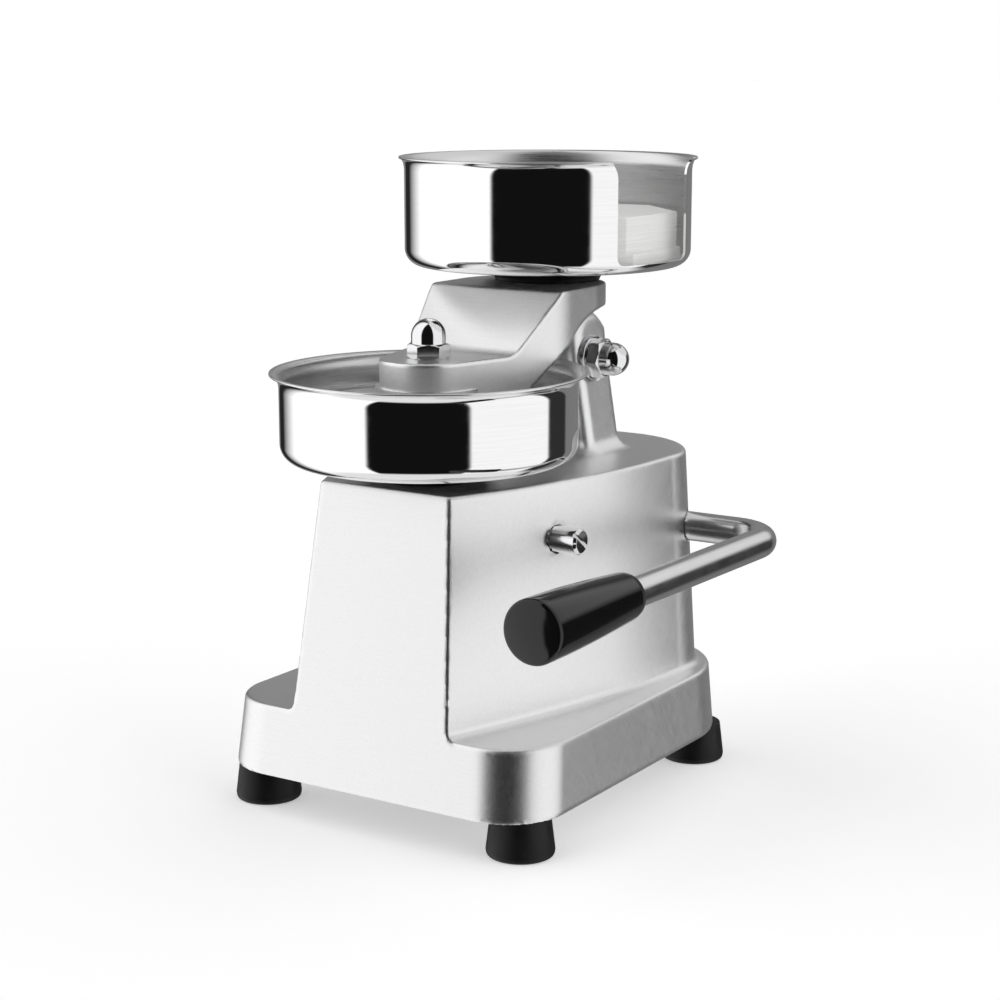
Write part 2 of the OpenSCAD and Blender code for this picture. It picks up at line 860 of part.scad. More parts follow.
module ejector_plate() {
    top_z = ejector_plate_z + ejector_plate_h;
    color("silver") at_home() difference() {
        translate([0, 0, ejector_plate_z]) rotate_extrude($fn = 96) polygon([
            [0, 0], [ejector_plate_r - ejector_plate_h, 0], [ejector_plate_r, ejector_plate_h - 2],
            [ejector_plate_r, ejector_plate_h], [0, ejector_plate_h]
        ]);
        plate_screw_head(top_z);
        cylinder(r = foot_screw_r, h = 2 * top_z);
    }
}

module ejector_rod() {
    color("silver") at_home() difference() {
        translate([0, 0, rod_bottom_z]) cylinder(r = ejector_rod_r, h = ejector_plate_z - rod_bottom_z);
        translate([0, 0, ejector_plate_z - 14]) cylinder(r = foot_screw_r, h = 15);
    }
}

module ejector_plate_screw() {
    top_z = ejector_plate_z + ejector_plate_h;
    color("silver") at_home() difference() {
        union() {
            plate_screw_head(top_z);
            translate([0, 0, top_z - 18]) cylinder(r = foot_screw_r, h = 17);
        }
        translate([0, 0, top_z - 2]) hex_prism(hex_key, 3);
    }
}

body_casting();
mould_bowl();
mould_seat();
ejector_guide_bush();
guide_bush_nut();
front_left_foot();
front_right_foot();
rear_left_foot();
rear_right_foot();
foot_screws();
foot_washers();
arm_pivot_shaft();
arm_pivot_washers();
arm_pivot_cap_nuts();
rocker_pivot_pin();
rocker_spacers();
handle_shaft_bushes();
press_arm();
arm_pivot_bush();
arm_link_pin();
press_plate();
press_plate_hub();
press_plate_stud();
press_plate_cap_nut();
tray_bowl();
tray_seat();
tray_screw();
lower_paper_pack();
upper_paper_pack();
handle_bar();
handle_grip();
drive_crank();
crank_cross_pin();
crank_link_pins();
shaft_collar();
collar_set_screw();
connecting_rod();
drag_link();
ejector_rocker();
rocker_link_pin();
ejector_plate();
ejector_rod();
ejector_plate_screw();
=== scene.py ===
"""Looks of a hand-operated patty forming press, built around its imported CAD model.

Shapes are worked out in millimetres from the floor point under the mould's axis ("home"),
which is found from the frame, and are turned into metres in the row frame at the end.
"""
import json
import math
import random

import bmesh
import bpy
import numpy as np
from mathutils import Matrix, Vector


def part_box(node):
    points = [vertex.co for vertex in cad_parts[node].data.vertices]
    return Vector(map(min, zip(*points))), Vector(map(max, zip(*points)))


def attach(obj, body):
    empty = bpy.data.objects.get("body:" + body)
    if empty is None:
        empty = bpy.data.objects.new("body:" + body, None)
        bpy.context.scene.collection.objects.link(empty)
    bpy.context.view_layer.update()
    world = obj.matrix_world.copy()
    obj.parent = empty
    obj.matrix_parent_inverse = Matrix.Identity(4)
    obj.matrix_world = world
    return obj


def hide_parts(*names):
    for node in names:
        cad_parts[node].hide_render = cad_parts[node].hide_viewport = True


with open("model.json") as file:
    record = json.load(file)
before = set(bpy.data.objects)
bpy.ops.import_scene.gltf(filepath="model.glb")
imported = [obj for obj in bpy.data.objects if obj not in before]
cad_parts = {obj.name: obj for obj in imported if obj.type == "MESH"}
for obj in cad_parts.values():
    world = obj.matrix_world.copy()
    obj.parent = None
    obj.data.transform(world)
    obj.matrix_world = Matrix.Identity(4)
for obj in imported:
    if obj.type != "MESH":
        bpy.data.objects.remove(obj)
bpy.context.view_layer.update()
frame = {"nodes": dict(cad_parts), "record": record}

MM = 0.001


# --- Places from the frame ---

def home_point():
    low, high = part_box("mould_bowl")
    return Vector(((low.x + high.x) / 2, (low.y + high.y) / 2, 0))


HOME = home_point()


def home_box(node):
    """Lowest and highest corner of a CAD node, in home millimetres."""
    low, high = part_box(node)
    return (low - HOME) / MM, (high - HOME) / MM


def middle(node):
    low, high = home_box(node)
    return (low + high) / 2


BASE_LOW, BASE_HIGH = home_box("body_casting")
ARM_LOW, ARM_HIGH = home_box("press_arm")
PIVOT = middle("arm_pivot_shaft")
SHAFT = middle("handle_shaft_bushes")
ROCKER = middle("rocker_pivot_pin")
TAIL = middle("arm_link_pin")
TRAY = middle("tray_seat")
BODY_TOP = home_box("mould_seat")[0].z
MOULD_FLOOR = home_box("mould_seat")[1].z
TRAY_FLOOR = home_box("tray_seat")[1].z
TRAY_RIM = home_box("tray_bowl")[1].z
BOSS_TOP = home_box("press_plate_cap_nut")[0].z
PIN_END = home_box("rocker_pivot_pin")[1].x
PIN_START = home_box("rocker_pivot_pin")[0].x


# --- Blends of distance fields ---

def round_max(a, b, r):
    """Overlap of two fields with its edge rounded to radius r."""
    return np.minimum(-r, np.maximum(a, b)) + np.hypot(np.maximum(r + a, 0), np.maximum(r + b, 0))


def round_min(a, b, r):
    """Union of two fields with a fillet of radius r."""
    return np.maximum(r, np.minimum(a, b)) - np.hypot(np.maximum(r - a, 0), np.maximum(r - b, 0))


def soft_max(a, b, width):
    """Overlap of two fields that meet at a flat angle."""
    share = np.maximum(width - np.abs(a - b), 0) / width
    return np.maximum(a, b) + share * share * width / 4


def rounded_plan(x, y, half_w, y0, y1, front_r, rear_r):
    """Rectangle centred on x = 0 with its own corner radius at the front and at the rear."""
    centre = (y0 + y1) / 2
    r = np.where(y < centre, front_r, rear_r)
    u = np.abs(x) - half_w + r
    v = np.abs(y - centre) - (y1 - y0) / 2 + r
    return np.hypot(np.maximum(u, 0), np.maximum(v, 0)) + np.minimum(np.maximum(u, v), 0) - r


# --- Body casting ---

WALL = 5
FLANGE_TOP = 50
BASE_FRONT_Y = -53
# The front face leans back 18 mm over a height of 136 mm
FRONT_LEAN = 18 / 136
DRAFT = 2
LOWER_EDGE_R = 1.2
FRONT_CORNER_R = 28
REAR_CORNER_R = 54
BODY_REAR_R = 50
SIDE_END_Y = 102
# Half-widths and rear end at the body's foot, and how much less they are at its top
BODY_FRONT_W = (42, 7.5)
BODY_REAR_W = (76, 6)
BODY_REAR_Y = (152, 2)
# Swell of the sides at the body's foot, and how much more it is at the top
SIDE_SWELL = (4.2, 3.2)
SIDE_SLANT = 0.977
SIDE_BLEND = 8
FLANGE_EDGE_R = 1.8
FLANGE_FILLET_R = 3.5
FRONT_EDGE_R = 1.0
TOP_EDGE_R = 1.6
COLUMN_TOP = (98, 205)
COLUMN_R = 16
COLUMN_REACH = 23.4
COLUMN_HEIGHTS = (153, 164, 198.8, 221)
COLUMN_HALF_WIDTHS = (35.5, 33.5, 27.7, 25.2)
COLUMN_CORNER_R = 6
COLUMN_FILLET_R = 7
NUT_SEAT_X = 27
SPOT_FACE_R = 11.2
CHANNEL_HALF_W = 14
CHANNEL_Y = 88
FORK_Z = 184
ROD_SLOT = (8, 116, 136)
SLOT_FLOOR_Z = 144
# Radius of each boss and the distance from the middle at which it starts
SHAFT_BOSS = (14, 46)
ROCKER_BOSS = (11, 38)
FOOT_POST = (9, 42)
PIVOT_BORE_R = 6
ROCKER_BORE_R = 6.3
BUSH_BORE = (10, 62)
BAR_BORE_R = 7.6
GUIDE_BORE = (8, 140)


def front_face(y, z):
    """Distance in front of the leaning front face that base and body share."""
    place = BASE_FRONT_Y + FRONT_LEAN * (z - BASE_LOW.z)
    return (place - y) / math.hypot(1, FRONT_LEAN)


def base_plan(x, y, z):
    draft = DRAFT * (z - BASE_LOW.z) / (FLANGE_TOP - BASE_LOW.z)
    front = BASE_FRONT_Y + FRONT_LEAN * (z - BASE_LOW.z)
    return rounded_plan(x, y, BASE_HIGH.x - draft, front, BASE_HIGH.y - draft,
                        FRONT_CORNER_R, REAR_CORNER_R)


def body_plan(x, y, z):
    """Body without its front face: swelling sides that run into a round rear."""
    rise = (z - FLANGE_TOP) / (BODY_TOP - FLANGE_TOP)
    front_w = BODY_FRONT_W[0] - BODY_FRONT_W[1] * rise
    rear_w = BODY_REAR_W[0] - BODY_REAR_W[1] * rise
    rear_y = BODY_REAR_Y[0] - BODY_REAR_Y[1] * rise
    rear = rounded_plan(x, y, rear_w, -2 * SIDE_END_Y, rear_y, BODY_REAR_R, BODY_REAR_R)
    front = BASE_FRONT_Y + FRONT_LEAN * (z - BASE_LOW.z)
    along = (y - front) / (SIDE_END_Y - front)
    inner = np.clip(along, 0, 1)
    swell = (SIDE_SWELL[0] + SIDE_SWELL[1] * rise) * 4 * inner * (1 - inner)
    side = (np.abs(x) - front_w - (rear_w - front_w) * along - swell) * SIDE_SLANT
    return soft_max(rear, side, SIDE_BLEND)


def column_field(x, y, z):
    """Fork column, rounded in front at its top and cut to the arm's reach behind."""
    middle_y, round_z = COLUMN_TOP
    front = np.hypot(y - middle_y, np.maximum(z - round_z, 0)) - COLUMN_R
    reach = np.hypot(y - PIVOT.y, np.maximum(z - PIVOT.z, 0)) - COLUMN_REACH
    rear = np.maximum(np.maximum(y - middle_y - COLUMN_R, reach), z - round_z - COLUMN_R)
    profile = np.where(y < middle_y, front, rear)
    half_w = np.interp(z, COLUMN_HEIGHTS, COLUMN_HALF_WIDTHS)
    return round_max(profile, np.abs(x) - half_w, COLUMN_CORNER_R)


def bosses_field(x, y, z):
    """Solid bosses inside the body, round the shafts and over the feet."""
    apart = np.abs(x)
    shaft = np.maximum(np.hypot(y - SHAFT.y, z - SHAFT.z) - SHAFT_BOSS[0], SHAFT_BOSS[1] - apart)
    rocker = np.maximum(np.hypot(y - ROCKER.y, z - ROCKER.z) - ROCKER_BOSS[0], ROCKER_BOSS[1] - apart)
    posts = np.full_like(x, 1e3)
    for foot in ("front_right_foot", "rear_right_foot"):
        place = middle(foot)
        posts = np.minimum(posts, np.hypot(apart - place.x, y - place.y) - FOOT_POST[0])
    return np.minimum(np.minimum(shaft, rocker), np.maximum(posts, z - FOOT_POST[1]))


def body_cuts(x, y, z):
    """Channel and fork of the column, slot of the rod and the bores of the shafts."""
    channel = np.maximum(np.abs(x) - CHANNEL_HALF_W, np.maximum(CHANNEL_Y - y, BODY_TOP - z))
    fork = np.maximum(np.abs(x) - CHANNEL_HALF_W, FORK_Z - z)
    half_w, y0, y1 = ROD_SLOT
    slot = np.maximum(np.abs(x) - half_w, np.maximum(np.maximum(y0 - y, y - y1), SLOT_FLOOR_Z - z))
    to_pivot = np.hypot(y - PIVOT.y, z - PIVOT.z)
    pivot = to_pivot - PIVOT_BORE_R
    rocker = np.hypot(y - ROCKER.y, z - ROCKER.z) - ROCKER_BORE_R
    to_shaft = np.hypot(y - SHAFT.y, z - SHAFT.z)
    bushes = np.maximum(to_shaft - BUSH_BORE[0], np.abs(x) - BUSH_BORE[1])
    bar = np.maximum(to_shaft - BAR_BORE_R, -x)
    guide = np.maximum(np.hypot(x, y) - GUIDE_BORE[0], GUIDE_BORE[1] - z)
    spot_face = np.maximum(to_pivot - SPOT_FACE_R, NUT_SEAT_X - np.abs(x))
    cuts = channel
    for cut in (fork, slot, pivot, rocker, bushes, bar, guide, spot_face):
        cuts = np.minimum(cuts, cut)
    return cuts


def body_field(x, y, z):
    """Base, body and column with their edges and fillets, hollow from below."""
    front = front_face(y, z)
    base_outline = base_plan(x, y, z)
    body_outline = body_plan(x, y, z)
    base = round_max(base_outline, z - FLANGE_TOP, FLANGE_EDGE_R)
    solid = round_min(base, body_outline, FLANGE_FILLET_R)
    edge = FRONT_EDGE_R * np.clip((z - FLANGE_TOP) / 8, 0, 1)
    solid = round_max(solid, front, edge)
    solid = round_max(solid, z - BODY_TOP, TOP_EDGE_R)
    solid = round_min(solid, column_field(x, y, z), COLUMN_FILLET_R)
    solid = round_max(solid, BASE_LOW.z - z, LOWER_EDGE_R)
    hollow = np.minimum(np.maximum(base_outline, z - FLANGE_TOP),
                        np.maximum(np.maximum(body_outline, front), z - BODY_TOP)) + WALL
    hollow = np.maximum(hollow, -bosses_field(x, y, z))
    return np.maximum(np.maximum(solid, -hollow), -body_cuts(x, y, z))


# --- Press arm ---

ARM_HALF_W = 36.7
NOSE_R = 22
SHOULDER_Y = 55.5
SLOPE_Y = 25.5
ARM_REAR_Y = 83
STEP_Y = 31.4
HEEL = (56.5, 206.5)
TOE = (60.5, 207.7)
CHEEK_R = 46
CHEEK_BOTTOM = 223.3
ARM_TOP_WALL = 6
CAVITY_Y = 61
LUG_HALF_W = 13
LUG_R = 10.5
LUG_TAPER = 3.5
LUG_FILLET_R = 6
# Block that joins the lug to the top plate: middle and half size along y and z
LUG_ROOT_Y = (PIVOT.y + 4.5, 15)
LUG_ROOT_Z = (ARM_HIGH.z - 18, 13)
SHOULDER_BLEND = 1.6
TOP_PLATE_EDGE_R = 1.2
SLOPE_FILLET_R = 2.5
ARM_EDGE_R = 1.0
ARM_BUSH_R = 8
TAIL_PIN_R = 3.5


def arm_plan(x, y):
    """Round nose, flanks tangent to it, straight cheeks and a round rear."""
    to_shoulder = math.hypot(ARM_HALF_W, SHOULDER_Y)
    flank_a = math.atan2(SHOULDER_Y, ARM_HALF_W) - math.acos(NOSE_R / to_shoulder)
    nx = math.cos(flank_a)
    ny = math.sin(flank_a)
    apart = np.abs(x)
    flank = np.where(ny * apart - nx * y > 0, np.hypot(x, y), nx * apart + ny * y) - NOSE_R
    cheeks = np.hypot(x, np.maximum(y - ARM_REAR_Y, 0)) - ARM_HALF_W
    return soft_max(flank, cheeks, SHOULDER_BLEND)


def arm_top(y, z):
    """Boss plate, fillet, sloping face and the plate under the tray."""
    run = SHOULDER_Y - SLOPE_Y
    rise = ARM_HIGH.z - BOSS_TOP
    slope = (run * (z - BOSS_TOP) - rise * (y - SLOPE_Y)) / math.hypot(run, rise)
    upper = round_max(slope, z - ARM_HIGH.z, TOP_PLATE_EDGE_R)
    return round_min(z - BOSS_TOP, upper, SLOPE_FILLET_R)


def arm_bottom(y, z):
    """Underside: boss, a step up to the heel, and the arched lower edge of the cheeks."""
    centre_y = PIVOT.y
    centre_z = CHEEK_BOTTOM - CHEEK_R
    steps = np.linspace(math.acos((TOE[0] - centre_y) / CHEEK_R), math.pi / 2, 12)
    along = [-99, STEP_Y, HEEL[0], *(centre_y + CHEEK_R * np.cos(steps)), 199]
    height = [ARM_LOW.z, ARM_LOW.z, HEEL[1], *(centre_z + CHEEK_R * np.sin(steps)), CHEEK_BOTTOM]
    edge = np.interp(y, along, height)
    slope = np.interp(y + 0.5, along, height) - np.interp(y - 0.5, along, height)
    return (edge - z) / np.hypot(1, slope)


def lug_field(x, y, z):
    """Lug under the arm that carries the pivot and the connecting rod's pin."""
    to_tail = np.array((TAIL.y - PIVOT.y, TAIL.z - PIVOT.z))
    length = np.hypot(*to_tail)
    share = np.clip(((y - PIVOT.y) * to_tail[0] + (z - PIVOT.z) * to_tail[1]) / length ** 2, 0, 1)
    spine = np.hypot(y - PIVOT.y - share * to_tail[0], z - PIVOT.z - share * to_tail[1])
    root = np.maximum(np.abs(y - LUG_ROOT_Y[0]) - LUG_ROOT_Y[1],
                      np.abs(z - LUG_ROOT_Z[0]) - LUG_ROOT_Z[1])
    side = round_min(spine - LUG_R + LUG_TAPER * share, root, LUG_FILLET_R)
    solid = round_max(side, np.abs(x) - LUG_HALF_W, ARM_EDGE_R)
    slot = np.maximum(np.abs(x) - WALL, LUG_R - np.hypot(y - PIVOT.y, z - PIVOT.z))
    slot = np.maximum(slot, PIVOT.y - LUG_R - y)
    return np.maximum(solid, -slot)


def arm_field(x, y, z):
    """Arm with its hollow under the top plate, the lug and the bores for bush and pin."""
    plan = arm_plan(x, y)
    solid = round_max(plan, arm_top(y, z), ARM_EDGE_R)
    solid = round_max(solid, arm_bottom(y, z), ARM_EDGE_R)
    hollow = np.hypot(x, np.maximum(y - ARM_REAR_Y, 0)) - ARM_HALF_W + WALL
    hollow = np.maximum(np.maximum(hollow, CAVITY_Y - y), z - ARM_HIGH.z + ARM_TOP_WALL)
    solid = np.minimum(np.maximum(solid, -hollow), np.maximum(lug_field(x, y, z), z - ARM_HIGH.z + 1))
    bore = np.hypot(y - PIVOT.y, z - PIVOT.z) - ARM_BUSH_R
    pin = np.hypot(y - TAIL.y, z - TAIL.z) - TAIL_PIN_R
    return np.maximum(solid, -np.minimum(bore, pin))


# --- Meshes ---

BODY_CELL = 1.35
ARM_CELL = 0.95
FIELD_SHARP_A = 42


def corner_values(value, start, shape):
    """Values at one corner of every grid cell."""
    return value[tuple(slice(s, s + n) for s, n in zip(start, shape))]


def cell_points(value):
    """One point for each grid cell that the surface crosses, at the mean of its crossings."""
    shape = [n - 1 for n in value.shape]
    total = np.zeros((3, *shape))
    count = np.zeros(shape)
    for axis in range(3):
        for corner in range(4):
            start = [corner % 2, corner // 2]
            start.insert(axis, 0)
            end = list(start)
            end[axis] = 1
            a = corner_values(value, start, shape)
            b = corner_values(value, end, shape)
            crossed = (a < 0) != (b < 0)
            share = np.where(crossed, a / np.where(crossed, a - b, 1), 0)
            for k in range(3):
                total[k] += crossed * start[k] + (share if k == axis else 0)
            count += crossed
    return total, count


def cell_faces(value, index):
    """A quad round each grid edge that the surface crosses, facing outwards."""
    faces = []
    for axis in range(3):
        u, v = [a for a in range(3) if a != axis]
        if axis == 1:
            u, v = v, u
        inner = [slice(1, -1)] * 3
        inner[axis] = slice(0, -1)
        after = list(inner)
        after[axis] = slice(1, None)
        a = value[tuple(inner)] < 0
        b = value[tuple(after)] < 0
        for inside_first in (True, False):
            found = np.argwhere(a & ~b if inside_first else ~a & b)
            found += [0 if k == axis else 1 for k in range(3)]
            ring = []
            for du, dv in ((1, 1), (0, 1), (0, 0), (1, 0)):
                cell = found.copy()
                cell[:, u] -= du
                cell[:, v] -= dv
                ring.append(index[tuple(cell.T)])
            ring = np.stack(ring, axis=1)
            faces.append(ring if inside_first else ring[:, ::-1])
    return np.concatenate(faces)


def field_slope(field, points):
    """Gradient of a field at points, from differences over a small step."""
    step = 0.05
    slope = np.zeros_like(points)
    for k in range(3):
        shift = np.zeros(3)
        shift[k] = step
        slope[:, k] = (field(*(points + shift).T) - field(*(points - shift).T)) / (2 * step)
    return slope


def field_mesh(name, field, low, high, cell):
    """Mesh of a distance field's surface, its points pulled onto the surface itself."""
    axes = [np.arange(a - 1.5 * cell, b + 2.5 * cell, cell) for a, b in zip(low, high)]
    value = field(*np.meshgrid(*axes, indexing="ij"))
    total, count = cell_points(value)
    used = count > 0
    index = np.full(count.shape, -1)
    index[used] = np.arange(used.sum())
    start = np.array([a[0] for a in axes])
    points = start + (np.argwhere(used) + (total[:, used] / count[used]).T) * cell
    for _ in range(3):
        slope = field_slope(field, points)
        size = np.maximum((slope ** 2).sum(1), 0.2)
        move = -slope * (field(*points.T) / size)[:, None]
        length = np.maximum(np.hypot(np.hypot(*move.T[:2]), move.T[2]), 1e-9)
        points += move * np.minimum(1, cell / 2 / length)[:, None]
    mesh = bpy.data.meshes.new(name)
    mesh.from_pydata((points * MM + np.array(HOME)).tolist(), [], cell_faces(value, index).tolist())
    mesh.update()
    mesh.shade_smooth()
    mesh.set_sharp_from_angle(angle=math.radians(FIELD_SHARP_A))
    return mesh


def fillet_path(corners, steps=6):
    """Points along a line of (u, v, radius) corners, each rounded to its radius."""
    points = []
    for i, (u, v, r) in enumerate(corners):
        here = Vector((u, v))
        if r == 0:
            points.append(here)
            continue
        back = (Vector(corners[i - 1][:2]) - here).normalized()
        ahead = (Vector(corners[(i + 1) % len(corners)][:2]) - here).normalized()
        half = back.angle(ahead) / 2
        centre = here + (back + ahead).normalized() * r / math.sin(half)
        first = here + back * r / math.tan(half) - centre
        last = here + ahead * r / math.tan(half) - centre
        turn = math.pi - 2 * half
        for k in range(steps + 1):
            t = k / steps
            a = math.sin((1 - t) * turn) / math.sin(turn)
            b = math.sin(t * turn) / math.sin(turn)
            points.append(centre + first * a + last * b)
    return points


def finished(shape, name):
    """Mesh of a bmesh, which is freed."""
    mesh = bpy.data.meshes.new(name)
    shape.to_mesh(mesh)
    shape.free()
    return mesh


def ring_mesh(name, rings, closed=False, parts=None, sharp=30):
    """Mesh over rings of points, one after the other. Equal rings of points make a pole."""
    shape = bmesh.new()
    rows = [[shape.verts.new(Vector(p) * MM) for p in ring] for ring in rings]
    pairs = list(zip(rows, rows[1:])) + ([(rows[-1], rows[0])] if closed else [])
    for i, (a, b) in enumerate(pairs):
        for k in range(len(a)):
            face = shape.faces.new((a[k - 1], a[k], b[k], b[k - 1]))
            face.material_index = parts[i] if parts else 0
    bmesh.ops.remove_doubles(shape, verts=shape.verts, dist=1e-7)
    bmesh.ops.recalc_face_normals(shape, faces=shape.faces)
    mesh = finished(shape, name)
    mesh.shade_smooth()
    mesh.set_sharp_from_angle(angle=math.radians(sharp))
    return mesh


def lathe(name, profile, closed=False, parts=None, segments=160, sharp=30):
    """Profile of (radius, height) points turned about the local Z axis."""
    turns = [2 * math.pi * k / segments for k in range(segments)]
    rings = [[(r * math.cos(a), r * math.sin(a), h) for a in turns] for r, h in profile]
    return ring_mesh(name, rings, closed, parts, sharp)


def along_x(y, z, x=0.0):
    """Place whose local Z axis runs along X."""
    return at(x, y, z) @ Matrix.Rotation(math.pi / 2, 4, "Y")


def at(x, y, z):
    return Matrix.Translation(HOME + Vector((x, y, z)) * MM)


def under(low, high):
    """Place at the middle of a box's lower face."""
    return at((low.x + high.x) / 2, (low.y + high.y) / 2, low.z)


def add_object(name, mesh, place=None):
    made = bpy.data.objects.new(name, mesh)
    bpy.context.scene.collection.objects.link(made)
    if place is not None:
        made.matrix_world = place
    return made


def add_piece(name, mesh, body, slot, nodes, place=None, materials=None):
    """Piece that rides on a body and replaces CAD nodes, in its slot's material or in those named."""
    piece = add_object(name, mesh, place)
    for material in (slot,) if materials is None else materials:
        mesh.materials.append(MATERIALS[material])
    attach(piece, body)
    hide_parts(*nodes)


# --- Materials ---

def wire(material, output, socket):
    material.node_tree.links.new(output, socket)


def add_node(material, kind, **values):
    node = material.node_tree.nodes.new(kind)
    for key, value in values.items():
        if hasattr(node, key):
            setattr(node, key, value)
        else:
            node.inputs[key.replace("_", " ")].default_value = value
    return node


def shader_material(name, color, metallic, roughness):
    material = bpy.data.materials.new(name)
    material.use_nodes = True
    shader = material.node_tree.nodes["Principled BSDF"]
    shader.inputs["Base Color"].default_value = (*color, 1)
    shader.inputs["Metallic"].default_value = metallic
    shader.inputs["Roughness"].default_value = roughness
    return material, shader


def object_place(material):
    return add_node(material, "ShaderNodeTexCoord").outputs["Object"]


def streaks(material, place, size, turn=(0, 0, 0), detail=3.0):
    """Noise whose grains measure the given size in metres, turned by the given angles."""
    mapping = add_node(material, "ShaderNodeMapping", vector_type="TEXTURE")
    mapping.inputs["Rotation"].default_value = [math.radians(a) for a in turn]
    mapping.inputs["Scale"].default_value = size
    noise = add_node(material, "ShaderNodeTexNoise", Scale=1.0, Detail=detail, Roughness=0.55)
    wire(material, place, mapping.inputs["Vector"])
    wire(material, mapping.outputs["Vector"], noise.inputs["Vector"])
    return noise.outputs["Fac"]


def join(material, operation, a, b):
    node = add_node(material, "ShaderNodeMath", operation=operation)
    for socket, value in zip(node.inputs, (a, b)):
        if isinstance(value, (int, float)):
            socket.default_value = value
        else:
            wire(material, value, socket)
    return node.outputs[0]


def spread(material, value, low, high, socket, share=0.3):
    """Noise, which keeps to the middle of 0 to 1, spread over a range and put in a socket."""
    node = add_node(material, "ShaderNodeMapRange")
    node.inputs["From Min"].default_value = 0.5 - share
    node.inputs["From Max"].default_value = 0.5 + share
    node.inputs["To Min"].default_value = low
    node.inputs["To Max"].default_value = high
    wire(material, value, node.inputs["Value"])
    wire(material, node.outputs[0], socket)


def tint(material, value, dark, light, shader, share=0.3):
    """Base colour that goes from dark to light with a noise."""
    ramp = add_node(material, "ShaderNodeValToRGB")
    ramp.color_ramp.elements[0].position = 0.5 - share
    ramp.color_ramp.elements[1].position = 0.5 + share
    ramp.color_ramp.elements[0].color = (*dark, 1)
    ramp.color_ramp.elements[1].color = (*light, 1)
    wire(material, value, ramp.inputs[0])
    wire(material, ramp.outputs[0], shader.inputs["Base Color"])


def relief(material, height, strength, depth, shader):
    bump = add_node(material, "ShaderNodeBump", Strength=strength, Distance=depth)
    wire(material, height, bump.inputs["Height"])
    wire(material, bump.outputs[0], shader.inputs["Normal"])


def grey(level):
    return (level, level, level)


def cast_aluminium():
    """Casting sanded level across its front and in two crossing directions on its sides."""
    material, shader = shader_material("cast_aluminium", grey(0.88), 1.0, 0.34)
    place = object_place(material)
    level = streaks(material, place, (0.022, 0.0006, 0.0004))
    one_way = streaks(material, place, (0.0005, 0.0004, 0.014), (42, 0, 0))
    other_way = streaks(material, place, (0.0005, 0.0004, 0.012), (-36, 0, 0))
    crossed = join(material, "ADD", one_way, other_way)
    brushing = join(material, "MULTIPLY", join(material, "ADD", level, crossed), 0.3333)
    spread(material, brushing, 0.31, 0.46, shader.inputs["Roughness"], 0.14)
    tint(material, brushing, grey(0.8), grey(0.94), shader, 0.14)
    relief(material, brushing, 0.35, 0.00006, shader)
    return material


def turned_noise(material, place, width, turn_size):
    """Noise drawn out round the local Z axis, as turning or circular brushing leaves it."""
    parts = add_node(material, "ShaderNodeSeparateXYZ")
    wire(material, place, parts.inputs[0])
    x, y, z = parts.outputs
    radius = join(material, "SQRT", join(material, "ADD", join(material, "MULTIPLY", x, x),
                                         join(material, "MULTIPLY", y, y)), 0)
    around = join(material, "ARCTAN2", y, x)
    whole = add_node(material, "ShaderNodeCombineXYZ")
    wire(material, join(material, "DIVIDE", radius, width), whole.inputs[0])
    wire(material, join(material, "DIVIDE", z, width), whole.inputs[1])
    wire(material, join(material, "DIVIDE", around, turn_size), whole.inputs[2])
    noise = add_node(material, "ShaderNodeTexNoise", Scale=1.0, Detail=3.0, Roughness=0.6)
    wire(material, whole.outputs[0], noise.inputs["Vector"])
    return noise.outputs["Fac"]


def mirror_steel():
    """Polished sheet: nearly a mirror, with faint wipe marks."""
    material, shader = shader_material("mirror_steel", grey(0.88), 1.0, 0.05)
    place = object_place(material)
    wipes = streaks(material, place, (0.02, 0.02, 0.006), (20, 0, 0))
    spread(material, wipes, 0.03, 0.085, shader.inputs["Roughness"])
    fine = turned_noise(material, place, 0.0007, 0.5)
    tint(material, fine, grey(0.84), grey(0.9), shader)
    relief(material, fine, 0.06, 0.00002, shader)
    return material


def turned_steel(name, level, roughness):
    """Steel brushed in circles about its own axis."""
    material, shader = shader_material(name, grey(level), 1.0, roughness)
    shader.inputs["Anisotropic"].default_value = 0.75
    tangent = add_node(material, "ShaderNodeTangent", direction_type="RADIAL", axis="Z")
    wire(material, tangent.outputs[0], shader.inputs["Tangent"])
    rings = turned_noise(material, object_place(material), 0.0006, 0.35)
    spread(material, rings, roughness - 0.07, roughness + 0.09, shader.inputs["Roughness"])
    tint(material, rings, grey(level * 0.84), grey(level), shader)
    relief(material, rings, 0.25, 0.00004, shader)
    return material


def plain_metal(name, color, roughness, grain, bump):
    """Metal with a fine even grain and small differences in gloss."""
    material, shader = shader_material(name, color, 1.0, roughness)
    place = object_place(material)
    fine = streaks(material, place, grey(grain))
    patches = streaks(material, place, grey(0.008))
    spread(material, patches, roughness * 0.75, roughness * 1.35, shader.inputs["Roughness"])
    tint(material, fine, [c * 0.88 for c in color], color, shader)
    relief(material, fine, bump, 0.00003, shader)
    return material


def satin_steel():
    """Bar polished along its length."""
    material, shader = shader_material("satin_steel", grey(0.8), 1.0, 0.2)
    place = object_place(material)
    along = streaks(material, place, (0.0004, 0.03, 0.0004))
    patches = streaks(material, place, grey(0.012))
    spread(material, join(material, "MULTIPLY", join(material, "ADD", along, patches), 0.5),
           0.14, 0.27, shader.inputs["Roughness"])
    tint(material, along, grey(0.7), grey(0.84), shader)
    relief(material, along, 0.15, 0.00003, shader)
    return material


